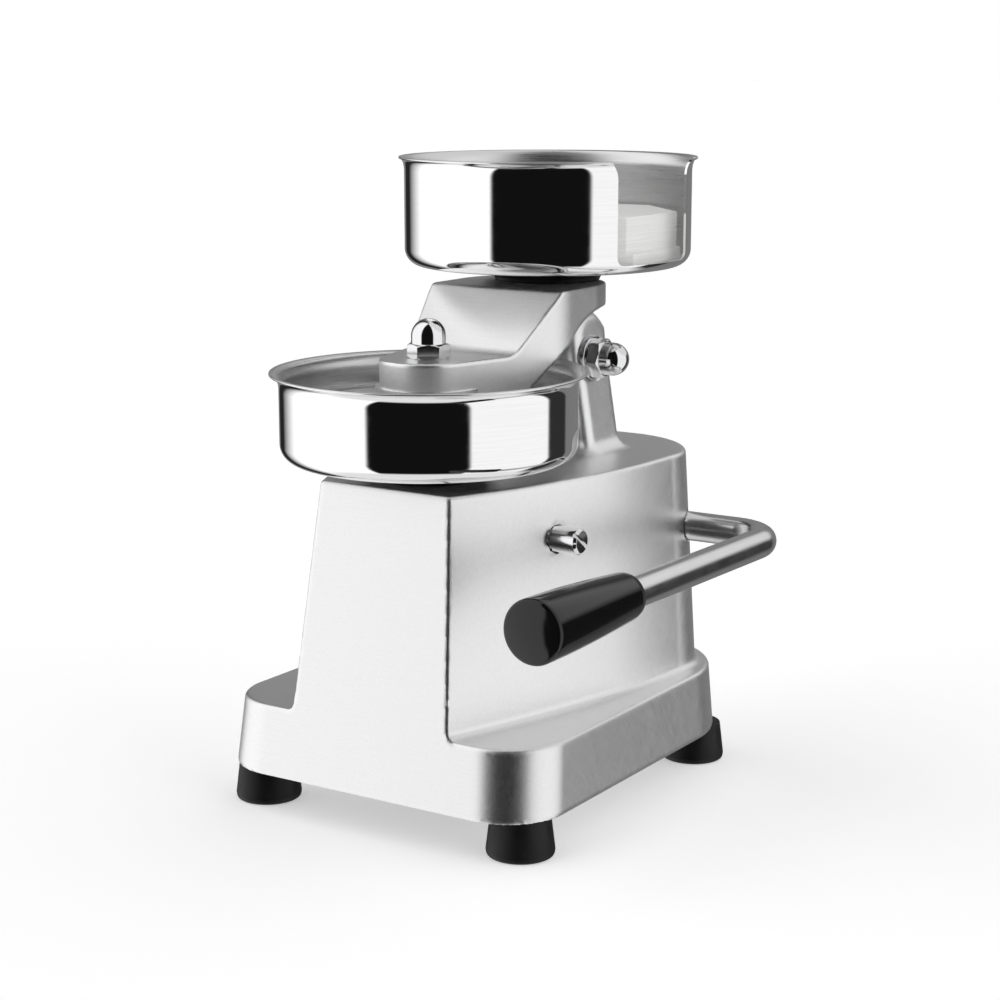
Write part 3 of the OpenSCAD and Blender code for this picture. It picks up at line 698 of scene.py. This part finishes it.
def glossy_plastic():
    """Black thermoset with a hard shine, faint flow marks and dust-fine pits."""
    material, shader = shader_material("grip_plastic", grey(0.005), 0.0, 0.08)
    shader.inputs["Specular IOR Level"].default_value = 0.4
    place = object_place(material)
    flow = streaks(material, place, (0.01, 0.04, 0.01))
    spread(material, flow, 0.06, 0.12, shader.inputs["Roughness"])
    pits = streaks(material, place, grey(0.0006), detail=2.0)
    tint(material, pits, grey(0.003), grey(0.008), shader)
    relief(material, flow, 0.08, 0.0002, shader)
    return material


def matte_black(name, level, roughness, grain, bump):
    """Black moulded plastic or rubber with a fine grain."""
    material, shader = shader_material(name, grey(level), 0.0, roughness)
    shader.inputs["Specular IOR Level"].default_value = 0.3
    place = object_place(material)
    fine = streaks(material, place, grey(grain))
    wear = streaks(material, place, grey(0.009))
    spread(material, wear, roughness - 0.1, roughness + 0.12, shader.inputs["Roughness"])
    tint(material, wear, grey(level * 0.7), grey(level * 1.6), shader)
    relief(material, fine, bump, 0.0001, shader)
    return material


def paper_material():
    """Waxed white paper; its cut edges show thin darker lines between the sheets, which are painted
    shade, and the whole stack glows faintly, which is painted light.
    """
    material, shader = shader_material("paper", (0.9, 0.9, 0.89), 0.0, 0.55)
    shader.inputs["Specular IOR Level"].default_value = 0.3
    # Painted light: the paper glows faintly white, so it looks brighter than the lamps alone make it.
    shader.inputs["Emission Color"].default_value = (1, 1, 1, 1)
    shader.inputs["Emission Strength"].default_value = 0.1
    place = object_place(material)
    sheets = streaks(material, place, (0.05, 0.05, 0.0004), detail=1.0)
    fibre = streaks(material, place, grey(0.0012))
    # Painted shade: darker bands of tint across the stack stand in for the shade in the gaps between the
    # sheets.
    tint(material, sheets, (0.8, 0.8, 0.79), (0.94, 0.94, 0.93), shader)
    spread(material, fibre, 0.45, 0.7, shader.inputs["Roughness"])
    relief(material, fibre, 0.15, 0.00008, shader)
    return material


MATERIALS = {
    "cast_aluminium": cast_aluminium(),
    "polished_steel": mirror_steel(),
    "turned_steel": turned_steel("turned_steel", 0.8, 0.3),
    "satin_steel": satin_steel(),
    "chrome_fastener": plain_metal("chrome_fastener", (0.82, 0.82, 0.83), 0.09, 0.0005, 0.05),
    "plated_steel": plain_metal("plated_steel", (0.66, 0.67, 0.68), 0.24, 0.0006, 0.15),
    "link_steel": plain_metal("link_steel", (0.36, 0.37, 0.39), 0.38, 0.0008, 0.3),
    "bronze": plain_metal("bronze", (0.66, 0.47, 0.26), 0.33, 0.0004, 0.3),
    "seat_plastic": matte_black("seat_plastic", 0.015, 0.38, 0.0008, 0.15),
    "grip_plastic": glossy_plastic(),
    "foot_rubber": matte_black("foot_rubber", 0.006, 0.5, 0.0007, 0.25),
    "paper": paper_material(),
}


# --- Pieces ---

def add_body():
    mesh = field_mesh("body_shell", body_field, BASE_LOW, BASE_HIGH, BODY_CELL)
    add_piece("body_shell", mesh, "base", "cast_aluminium", ["body_casting"])


def add_arm():
    mesh = field_mesh("arm_shell", arm_field, ARM_LOW, ARM_HIGH, ARM_CELL)
    add_piece("arm_shell", mesh, "arm", "cast_aluminium", ["press_arm"])


SHEET = 1.2
BOWL_CORNER_R = 8
LIP_H = 7
BOWL_WALL_R = {"mould_bowl": 66.7, "tray_bowl": 68.3}
BOWL_SEGMENTS = 192
BOWL_SHARP_A = 35
BOWL_FINISHES = ("polished_steel", "turned_steel")
GUIDE_R = 8
SCREW_R = 3


def bowl_profile(wall_r, rim_r, floor_z, rim_z, hole_r):
    """Closed section of a bowl and the number of its points on the outer side."""
    knee_z = rim_z - LIP_H
    outer = [Vector((hole_r, floor_z))]
    for k in range(13):
        a = math.radians(-90 + 90 * k / 12)
        outer.append(Vector((wall_r - BOWL_CORNER_R * (1 - math.cos(a)),
                             floor_z + BOWL_CORNER_R * (1 + math.sin(a)))))
    flare = rim_r - wall_r - SHEET / 2
    for k in range(13):
        a = math.radians(90 * k / 12)
        outer.append(Vector((wall_r + flare * (1 - math.cos(a)),
                             knee_z + (LIP_H - SHEET) * math.sin(a))))
    inner = []
    for k in range(9):
        a = math.radians(-90 + 180 * k / 8)
        inner.append(Vector((rim_r - SHEET / 2 + SHEET / 2 * math.cos(a),
                             rim_z - SHEET / 2 + SHEET / 2 * math.sin(a))))
    outer += inner[:4]
    back = inner[4:]
    for k in range(12, -1, -1):
        a = math.radians(90 * k / 12)
        back.append(Vector((wall_r - SHEET + (flare + SHEET) * (1 - math.cos(a)),
                            knee_z + LIP_H * math.sin(a))))
    for k in range(12, -1, -1):
        a = math.radians(-90 + 90 * k / 12)
        r = BOWL_CORNER_R - SHEET
        back.append(Vector((wall_r - BOWL_CORNER_R + r * math.cos(a),
                            floor_z + BOWL_CORNER_R + r * math.sin(a))))
    back.append(Vector((hole_r, floor_z + SHEET)))
    return outer + back, len(outer)


def bowl_mesh(name, node, floor_z, hole_r):
    """Bowl with its outer side in the first material and its inner side in the second."""
    low, high = home_box(node)
    rim_r = (high.y - low.y) / 2
    profile, outside = bowl_profile(BOWL_WALL_R[node], rim_r, floor_z, high.z, hole_r)
    parts = [0 if i < outside else 1 for i in range(len(profile))]
    return lathe(name, profile, True, parts, BOWL_SEGMENTS, BOWL_SHARP_A)


def add_mould_bowl():
    mesh = bowl_mesh("mould_bowl_sheet", "mould_bowl", MOULD_FLOOR, GUIDE_R)
    add_piece("mould_bowl_sheet", mesh, "base", "polished_steel", ["mould_bowl"], at(0, 0, 0),
              BOWL_FINISHES)


NOTCH_ANGLE = -9.5
NOTCH_HALF_W = 25
NOTCH_RISE = 4.5
NOTCH_CORNER_R = 4
NOTCH_LIP_R = 8


def notch_cutter():
    """Prism through the tray's wall: round lower corners, and lips that roll away at the rim."""
    bottom = TRAY_FLOOR + NOTCH_RISE
    top = TRAY_RIM - NOTCH_LIP_R
    half = [Vector((u, v)) for u, v in fillet_path(
        [(0, bottom, 0), (NOTCH_HALF_W, bottom, NOTCH_CORNER_R), (NOTCH_HALF_W, top, 0)])]
    for k in range(1, 9):
        a = math.radians(180 - 10 * k)
        half.append(Vector((NOTCH_HALF_W + NOTCH_LIP_R * (1 + math.cos(a)),
                            top + NOTCH_LIP_R * math.sin(a))))
    half.append(Vector((half[-1].x + 1, TRAY_RIM + 5)))
    outline = [(-u, v) for u, v in reversed(half[1:])] + [tuple(p) for p in half]
    shape = bmesh.new()
    rows = [[shape.verts.new(Vector((r, u, v)) * MM) for u, v in outline] for r in (40, 90)]
    for k in range(len(outline)):
        shape.faces.new((rows[0][k - 1], rows[0][k], rows[1][k], rows[1][k - 1]))
    shape.faces.new(rows[0])
    shape.faces.new(rows[1][::-1])
    bmesh.ops.recalc_face_normals(shape, faces=shape.faces)
    place = at(0, TRAY.y, 0) @ Matrix.Rotation(math.radians(NOTCH_ANGLE), 4, "Z")
    return add_object("notch_cutter", finished(shape, "notch_cutter"), place)


def cut_away(blank, cutter, name):
    """Mesh of the blank without the cutter; both objects are removed."""
    cut = blank.modifiers.new("cut", "BOOLEAN")
    cut.operation = "DIFFERENCE"
    cut.solver = "EXACT"
    cut.object = cutter
    bpy.context.view_layer.update()
    done = bpy.data.meshes.new_from_object(blank.evaluated_get(bpy.context.evaluated_depsgraph_get()))
    for leftover in (blank, cutter):
        bpy.data.objects.remove(leftover)
    done.name = name
    return done


def add_tray_bowl():
    """Tray bowl with its notch cut out."""
    mesh = bowl_mesh("tray_bowl_whole", "tray_bowl", TRAY_FLOOR, SCREW_R)
    for name in BOWL_FINISHES:
        mesh.materials.append(MATERIALS[name])
    blank = add_object("tray_bowl_whole", mesh, at(0, TRAY.y, 0))
    done = cut_away(blank, notch_cutter(), "tray_bowl_sheet")
    done.set_sharp_from_angle(angle=math.radians(BOWL_SHARP_A))
    add_piece("tray_bowl_sheet", done, "arm", "polished_steel", ["tray_bowl"], at(0, TRAY.y, 0), ())


def seat_profile(height, top_r, bottom_r, hole_r):
    """Hollow-sided cone with a band under the bowl."""
    return fillet_path([
        (hole_r, 0, 0), (bottom_r, 0, 0.6), (bottom_r + 0.6, 1.6, 0.4), (bottom_r + 1.4, height * 0.4, 3),
        (top_r, height - 2.2, 0.8), (top_r, height, 0.5), (hole_r, height, 0)
    ])


SEAT_BOTTOM_R = 25


def add_seats():
    for name, node, body, hole_r in (("mould_seat_cone", "mould_seat", "base", GUIDE_R),
                                     ("tray_seat_cone", "tray_seat", "arm", SCREW_R)):
        low, high = home_box(node)
        profile = seat_profile(high.z - low.z, (high.x - low.x) / 2, SEAT_BOTTOM_R, hole_r)
        add_piece(name, lathe(name, profile, True, segments=96), body, "seat_plastic", [node],
                  under(low, high))


FOOT_RECESS_R = 7.2
FOOT_RECESS_H = 8
FOOT_TAPER = 1.9


def add_feet():
    """Tapered rubber feet with a round lower edge and a recess for the screw."""
    for node in ("front_left_foot", "front_right_foot", "rear_left_foot", "rear_right_foot"):
        low, high = home_box(node)
        base_r = (high.x - low.x) / 2
        height = high.z
        profile = fillet_path([
            (SCREW_R, FOOT_RECESS_H, 0), (FOOT_RECESS_R, FOOT_RECESS_H, 0.8), (FOOT_RECESS_R, 0, 0.8),
            (base_r - 0.4, 0, 1.6), (base_r, 2.6, 1.2), (base_r - FOOT_TAPER, height, 0.3),
            (SCREW_R, height, 0)
        ])
        name = node + "_rubber"
        add_piece(name, lathe(name, profile, True, segments=96), "base", "foot_rubber", [node],
                  at((low.x + high.x) / 2, (low.y + high.y) / 2, 0))


HEX_SEGMENTS = 96
NUT_ACROSS = 16.9
NUT_SEAT_R = 8.35
NUT_THREAD_R = 4
NUT_HEX_H = 6.6
NUT_CHAMFER = 0.9
NUT_SHARP_A = 26
DOME_R = 7.8


def hex_ring(across, limit, height):
    """Ring of a hexagon whose corners are cut by a circle of radius limit."""
    ring = []
    for k in range(HEX_SEGMENTS):
        a = 2 * math.pi * k / HEX_SEGMENTS
        to_flat = (a + math.pi / 6) % (math.pi / 3) - math.pi / 6
        r = min(across / 2 / math.cos(to_flat), limit)
        ring.append((r * math.cos(a), r * math.sin(a), height))
    return ring


def hex_rings(across, height, chamfer):
    """Rings of a hexagonal prism with both ends chamfered."""
    corner_r = across / math.sqrt(3) - 0.05
    seat_r = across / 2 - 0.1
    steps = 6
    low = [(seat_r + (corner_r - seat_r) * k / steps, chamfer * k / steps) for k in range(steps + 1)]
    high = [(r, height - h) for r, h in reversed(low)]
    return [hex_ring(across, r, h) for r, h in low + high]


def cap_nut_mesh(name, height):
    """Domed nut: hexagon with chamfered corners, short neck and dome."""
    dome_z = height - DOME_R
    rings = [hex_ring(NUT_ACROSS, NUT_THREAD_R, 0.3)] + hex_rings(NUT_ACROSS, NUT_HEX_H, NUT_CHAMFER)
    neck = fillet_path([(NUT_SEAT_R, NUT_HEX_H, 0), (DOME_R, NUT_HEX_H, 0.25), (DOME_R, dome_z, 0)], 4)
    rings += [hex_ring(NUT_ACROSS, p.x, p.y) for p in neck]
    for k in range(1, 17):
        a = math.radians(90 * k / 16)
        rings.append(hex_ring(NUT_ACROSS, DOME_R * math.cos(a) + 1e-6, dome_z + DOME_R * math.sin(a)))
    return ring_mesh(name, rings, sharp=NUT_SHARP_A)


WASHER_R = 10.4
WASHER_BORE_R = 5
NOSE_NUT_TURN = 3
# Side of the column, its direction along x and the turn of its nut in degrees
SIDE_NUTS = (("right", 1, 8), ("left", -1, 22))


def add_nuts():
    """Domed nut on the arm's nose, and washer and domed nut on each side of the column."""
    low, high = home_box("press_plate_cap_nut")
    add_piece("nose_cap_nut", cap_nut_mesh("nose_cap_nut", high.z - low.z), "arm", "chrome_fastener",
              ["press_plate_cap_nut"],
              at(0, 0, low.z) @ Matrix.Rotation(math.radians(NOSE_NUT_TURN), 4, "Z"))
    washer_end = home_box("arm_pivot_washers")[1].x
    cap_end = home_box("arm_pivot_cap_nuts")[1].x
    for side, facing, turn in SIDE_NUTS:
        rotate = Matrix.Rotation(facing * math.pi / 2, 4, "Y")
        rotate = rotate @ Matrix.Rotation(math.radians(turn), 4, "Z")
        name = side + "_pivot_washer"
        thickness = washer_end - NUT_SEAT_X
        profile = fillet_path([(WASHER_BORE_R, 0, 0), (WASHER_R, 0, 0.3), (WASHER_R, thickness, 0.6),
                               (WASHER_BORE_R, thickness, 0)])
        add_piece(name, lathe(name, profile, True, segments=96), "base", "chrome_fastener",
                  ["arm_pivot_washers"],
                  at(facing * NUT_SEAT_X, PIVOT.y, PIVOT.z) @ rotate)
        name = side + "_pivot_cap_nut"
        add_piece(name, cap_nut_mesh(name, cap_end - washer_end), "base", "chrome_fastener",
                  ["arm_pivot_cap_nuts"],
                  at(facing * washer_end, PIVOT.y, PIVOT.z) @ rotate)


PIN_R = 6
PIN_END_R = 4.9
PIN_SHARP_A = 25
PIN_SLOT = (1.8, 20, 4)
PIN_SLOT_TURN = -38


def add_rocker_pin():
    """Cross pin with a bright chamfer and a driver's slot at its right end."""
    length = PIN_END - PIN_START
    profile = fillet_path([(0, 0, 0), (PIN_R - 0.4, 0, 0.3), (PIN_R, 0.5, 0.2),
                           (PIN_R, length - 1.2, 0.3), (PIN_END_R, length, 0.3), (0, length, 0)])
    mesh = lathe("rocker_pin_slotted", profile, segments=96, sharp=PIN_SHARP_A)
    blank = add_object("rocker_pin_blank", mesh)
    shape = bmesh.new()
    bmesh.ops.create_cube(shape, size=1)
    bmesh.ops.scale(shape, vec=Vector(PIN_SLOT) * MM, verts=shape.verts)
    bmesh.ops.translate(shape, vec=Vector((0, 0, length)) * MM, verts=shape.verts)
    turn = Matrix.Rotation(math.radians(PIN_SLOT_TURN), 3, "Z")
    bmesh.ops.rotate(shape, cent=(0, 0, 0), matrix=turn, verts=shape.verts)
    cutter = add_object("slot_cutter", finished(shape, "slot_cutter"))
    done = cut_away(blank, cutter, "rocker_pin")
    done.set_sharp_from_angle(angle=math.radians(PIN_SHARP_A))
    add_piece("rocker_pin", done, "base", "chrome_fastener", ["rocker_pivot_pin"],
              along_x(ROCKER.y, ROCKER.z, PIN_START))


BEND_R = 20
BAR_R = 7
HANDLE_RISE = 0.7


def raised():
    """Turn about the handle's shaft that lifts the grip a little."""
    pivot = at(0, SHAFT.y, SHAFT.z)
    return pivot @ Matrix.Rotation(math.radians(-HANDLE_RISE), 4, "X") @ pivot.inverted()


def add_handle_bar():
    """Round bar swept along shaft, bend and side leg."""
    low, high = home_box("handle_bar")
    side_x = high.x - BAR_R
    path = [(low.x, SHAFT.y, math.pi / 2)]
    for k in range(25):
        a = math.pi / 2 * k / 24
        path.append((side_x - BEND_R + BEND_R * math.sin(a), SHAFT.y - BEND_R + BEND_R * math.cos(a),
                     math.pi / 2 - a))
    path.append((side_x, low.y, 0))
    rings = []
    for r_share in (0, 1):
        rings.append(bar_ring(*path[0], BAR_R * r_share))
    rings += [bar_ring(*p, BAR_R) for p in path[1:]]
    rings.append(bar_ring(*path[-1], 0))
    add_piece("handle_bar_bent", ring_mesh("handle_bar_bent", rings, sharp=40), "handle", "satin_steel",
              ["handle_bar"], raised() @ at(0, 0, 0))


def bar_ring(x, y, across, radius):
    """Circle round the bar's centre line; across is the plan angle of the bar's side direction."""
    ring = []
    for k in range(48):
        a = 2 * math.pi * k / 48
        side = radius * math.cos(a)
        ring.append((x + side * math.cos(across), y + side * math.sin(across),
                     SHAFT.z + radius * math.sin(a)))
    return ring


GRIP_REAR_R = 10.6
GRIP_SHOULDER = 4
# Radius and depth below the tip of points on the domed end
GRIP_DOME = ((10, 1.2), (8, 0.78), (6, 0.44), (4, 0.2), (2, 0.05), (0, 0))
# The tilted grip's box is this much longer than the grip
GRIP_TILT_EXTRA = 0.4


def add_grip():
    """Long swelling grip with a round shoulder and a slightly domed end."""
    low, high = home_box("handle_grip")
    length = high.y - low.y - GRIP_TILT_EXTRA
    grip_r = (high.x - low.x) / 2
    bore_r = BAR_R + 0.1
    swell = [(GRIP_REAR_R + (grip_r - GRIP_REAR_R) * math.sin(math.pi / 2 * k / 16),
              GRIP_SHOULDER + (length - 2 * GRIP_SHOULDER) * k / 16) for k in range(1, 17)]
    shoulder = fillet_path([(bore_r, 0.4, 0), (GRIP_REAR_R - 0.6, 0, 1.2),
                            (GRIP_REAR_R, GRIP_SHOULDER, 1.5), (*swell[0], 0)])
    dome = [(r, length - drop, 0) for r, drop in GRIP_DOME]
    nose = fillet_path([(*swell[-2], 0), (grip_r, length - 2, 2), *dome], 8)
    profile = list(shoulder)[:-1] + [Vector(p) for p in swell[:-1]] + list(nose)[1:]
    profile = [Vector((bore_r, 12)), *profile]
    name = "handle_grip_moulded"
    rear = at((low.x + high.x) / 2, high.y, SHAFT.z)
    place = raised() @ rear @ Matrix.Rotation(math.pi / 2, 4, "X")
    add_piece(name, lathe(name, profile, segments=128, sharp=40), "handle", "grip_plastic",
              ["handle_grip"], place)


SHEET_PITCH = 0.3
SHEET_SHARE = 0.9
SHEET_TURN = 0.12
SHEET_SHIFT = 0.22
PAPER_HALF_W = 58
PAPER_CUT = 58


def add_paper_pack(node, name, seed, turn):
    """Loose sheets with cut corners, each a little out of line with the others."""
    chance = random.Random(seed)
    low, high = home_box(node)
    half = PAPER_HALF_W
    corner = PAPER_CUT * math.sqrt(2) - half
    outline = [(half, corner), (corner, half), (-corner, half), (-half, corner),
               (-half, -corner), (-corner, -half), (corner, -half), (half, -corner)]
    shape = bmesh.new()
    count = int((high.z - low.z) / SHEET_PITCH)
    pitch = (high.z - low.z) / count
    for i in range(count):
        angle = math.radians(turn + chance.uniform(-SHEET_TURN, SHEET_TURN))
        shift = (chance.uniform(-SHEET_SHIFT, SHEET_SHIFT), chance.uniform(-SHEET_SHIFT, SHEET_SHIFT))
        rows = []
        for z in (i * pitch, (i + SHEET_SHARE) * pitch):
            rows.append([shape.verts.new(Vector((
                u * math.cos(angle) - v * math.sin(angle) + shift[0],
                u * math.sin(angle) + v * math.cos(angle) + shift[1], z)) * MM) for u, v in outline])
        for k in range(len(outline)):
            shape.faces.new((rows[0][k - 1], rows[0][k], rows[1][k], rows[1][k - 1]))
        shape.faces.new(rows[0][::-1])
        shape.faces.new(rows[1])
    bmesh.ops.recalc_face_normals(shape, faces=shape.faces)
    add_piece(name, finished(shape, name), "paper", "paper", [node], under(low, high))


def add_press_plate():
    """Pressing disc with a rounded edge and a turned face."""
    low, high = home_box("press_plate")
    r = (high.x - low.x) / 2
    h = high.z - low.z
    profile = fillet_path([(0, 0, 0), (r, 0, 1.5), (r, h, 1.5), (0, h, 0)])
    add_piece("press_plate_disc", lathe("press_plate_disc", profile, segments=192), "arm",
              "polished_steel", ["press_plate"], at(0, 0, low.z), ("turned_steel",))


def paint_kept_nodes():
    """CAD nodes that stay get the material of their slot."""
    slots = {part["node"]: part["material_slot"] for part in frame["record"]["subparts"]}
    for name, node in frame["nodes"].items():
        if node.hide_render:
            continue
        material = MATERIALS[slots[name]]
        node.data.materials.clear()
        node.data.materials.append(material)


# --- Stage, light and camera ---

FLOOR_HALF = 30
FLOOR_GREY = 0.9
FLOOR_GLOW = 0.44


def add_floor():
    """White floor that shows soft contact shadows and is left out of reflections."""
    mesh = bpy.data.meshes.new("floor")
    corners = [(-FLOOR_HALF, -FLOOR_HALF, 0), (FLOOR_HALF, -FLOOR_HALF, 0),
               (FLOOR_HALF, FLOOR_HALF, 0), (-FLOOR_HALF, FLOOR_HALF, 0)]
    mesh.from_pydata(corners, [], [(0, 1, 2, 3)])
    floor = add_object("floor", mesh)
    material = bpy.data.materials.new("floor_white")
    material.use_nodes = True
    shader = material.node_tree.nodes["Principled BSDF"]
    shader.inputs["Base Color"].default_value = (*grey(FLOOR_GREY), 1)
    shader.inputs["Roughness"].default_value = 1.0
    shader.inputs["Specular IOR Level"].default_value = 0.0
    shader.inputs["Emission Color"].default_value = (1, 1, 1, 1)
    shader.inputs["Emission Strength"].default_value = FLOOR_GLOW
    mesh.materials.append(material)
    floor.visible_glossy = False


# Studio seen in the metal: (start azimuth in degrees, brightness) of each card round the object
CARDS = (
    (-180, 1.2), (-104, 0.006), (-24, 1.05), (48, 0.03),
    (73, 0.2), (109, 0.24), (142, 0.02), (158, 1.2),
)
CARD_EDGE = 1.5
# Softbox above and behind: azimuth and elevation in degrees, and brightness
TOP_LIGHT = (58, 48, 0.85)
TOP_LIGHT_STOPS = [(0.0, 0.0), (0.77, 0.0), (0.82, 1.0), (1.0, 1.0)]
GROUND_LEVEL = 0.85
GROUND_STOPS = [(0.0, 1.0), (0.2, 1.0), (0.25, 0.0), (1.0, 0.0)]


def card_stops():
    """Colour ramp stops for the cards, with a short blend at each edge."""
    stops = []
    for i, (start, level) in enumerate(CARDS):
        if i:
            stops.append((start - CARD_EDGE, CARDS[i - 1][1]))
        stops.append((start + (CARD_EDGE if i else 0), level))
    return [((a + 180) / 360, level) for a, level in stops]


def fill_ramp(ramp, stops):
    """Replace a new colour ramp's stops by (position, grey level) pairs."""
    for position, level in stops[:-1]:
        stop = ramp.elements.new(position)
        stop.color = (*grey(level), 1)
    ramp.elements.remove(ramp.elements[0])
    ramp.elements[-1].color = (*grey(stops[-1][1]), 1)


def add_studio():
    """White world for the camera; for all else cards, a softbox above and a bright ground."""
    world = bpy.data.worlds.new("studio")
    bpy.context.scene.world = world
    world.use_nodes = True
    tree = world.node_tree
    tree.nodes.clear()

    def node(kind, **values):
        made = tree.nodes.new(kind)
        for key, value in values.items():
            setattr(made, key, value)
        return made

    def math_node(operation, a, b=0.0):
        made = node("ShaderNodeMath", operation=operation)
        for socket, value in zip(made.inputs, (a, b)):
            if isinstance(value, (int, float)):
                socket.default_value = value
            else:
                tree.links.new(value, socket)
        return made.outputs[0]

    place = node("ShaderNodeTexCoord").outputs["Generated"]
    parts = node("ShaderNodeSeparateXYZ")
    tree.links.new(place, parts.inputs[0])
    x, y, z = parts.outputs
    turn = math_node("ADD", math_node("DIVIDE", math_node("ARCTAN2", y, x), 2 * math.pi), 0.5)
    cards = node("ShaderNodeValToRGB")
    fill_ramp(cards.color_ramp, card_stops())
    tree.links.new(turn, cards.inputs[0])

    def share_of_turn(sine):
        return math_node("ADD", math_node("DIVIDE", math_node("ARCSINE", sine), math.pi), 0.5)

    def covered(color, where, stops, level):
        """Colour with a grey level laid over it where the ramp of a direction's height is 1."""
        ramp = node("ShaderNodeValToRGB")
        fill_ramp(ramp.color_ramp, stops)
        tree.links.new(where, ramp.inputs[0])
        mix = node("ShaderNodeMix", data_type="RGBA")
        tree.links.new(ramp.outputs[0], mix.inputs["Factor"])
        colors = [s for s in mix.inputs if s.type == "RGBA"]
        tree.links.new(color, colors[0])
        colors[1].default_value = (*grey(level), 1)
        return [s for s in mix.outputs if s.type == "RGBA"][0]

    azimuth, elevation, level = TOP_LIGHT
    axis = Vector((math.cos(math.radians(azimuth)) * math.cos(math.radians(elevation)),
                   math.sin(math.radians(azimuth)) * math.cos(math.radians(elevation)),
                   math.sin(math.radians(elevation))))
    to_light = node("ShaderNodeVectorMath", operation="DOT_PRODUCT")
    tree.links.new(place, to_light.inputs[0])
    to_light.inputs[1].default_value = axis
    near_light = share_of_turn(to_light.outputs["Value"])
    color = covered(cards.outputs[0], near_light, TOP_LIGHT_STOPS, level)
    color = covered(color, share_of_turn(z), GROUND_STOPS, GROUND_LEVEL)
    lit = node("ShaderNodeBackground")
    tree.links.new(color, lit.inputs["Color"])
    seen = node("ShaderNodeBackground")
    seen.inputs["Color"].default_value = (1, 1, 1, 1)
    choose = node("ShaderNodeMixShader")
    tree.links.new(node("ShaderNodeLightPath").outputs["Is Camera Ray"], choose.inputs[0])
    tree.links.new(lit.outputs[0], choose.inputs[1])
    tree.links.new(seen.outputs[0], choose.inputs[2])
    output = node("ShaderNodeOutputWorld")
    tree.links.new(choose.outputs[0], output.inputs[0])


CAMERA_PLACE = Vector((539.6, -778.9, 337.3))
CAMERA_TURN = 32.8
CAMERA_PITCH = 11.6
CAMERA_LENS = 77.38


def add_camera():
    """Camera of the photo, from a fit to the bowls' rims and the feet."""
    camera = bpy.data.cameras.new("camera")
    camera.lens = CAMERA_LENS
    camera.sensor_width = 36
    camera.clip_start = 0.01
    holder = bpy.data.objects.new("camera", camera)
    holder.location = HOME + CAMERA_PLACE * MM
    holder.rotation_euler = (math.radians(90 - CAMERA_PITCH), 0, math.radians(CAMERA_TURN))
    bpy.context.scene.collection.objects.link(holder)
    bpy.context.scene.camera = holder


add_camera()
add_studio()
add_floor()
add_body()
add_arm()
add_mould_bowl()
add_tray_bowl()
add_seats()
add_feet()
add_nuts()
add_rocker_pin()
add_handle_bar()
add_grip()
add_press_plate()
add_paper_pack("lower_paper_pack", "lower_paper_sheets", 3, 2)
add_paper_pack("upper_paper_pack", "upper_paper_sheets", 5, 0)
paint_kept_nodes()
bpy.context.scene.view_settings.view_transform = "Standard"
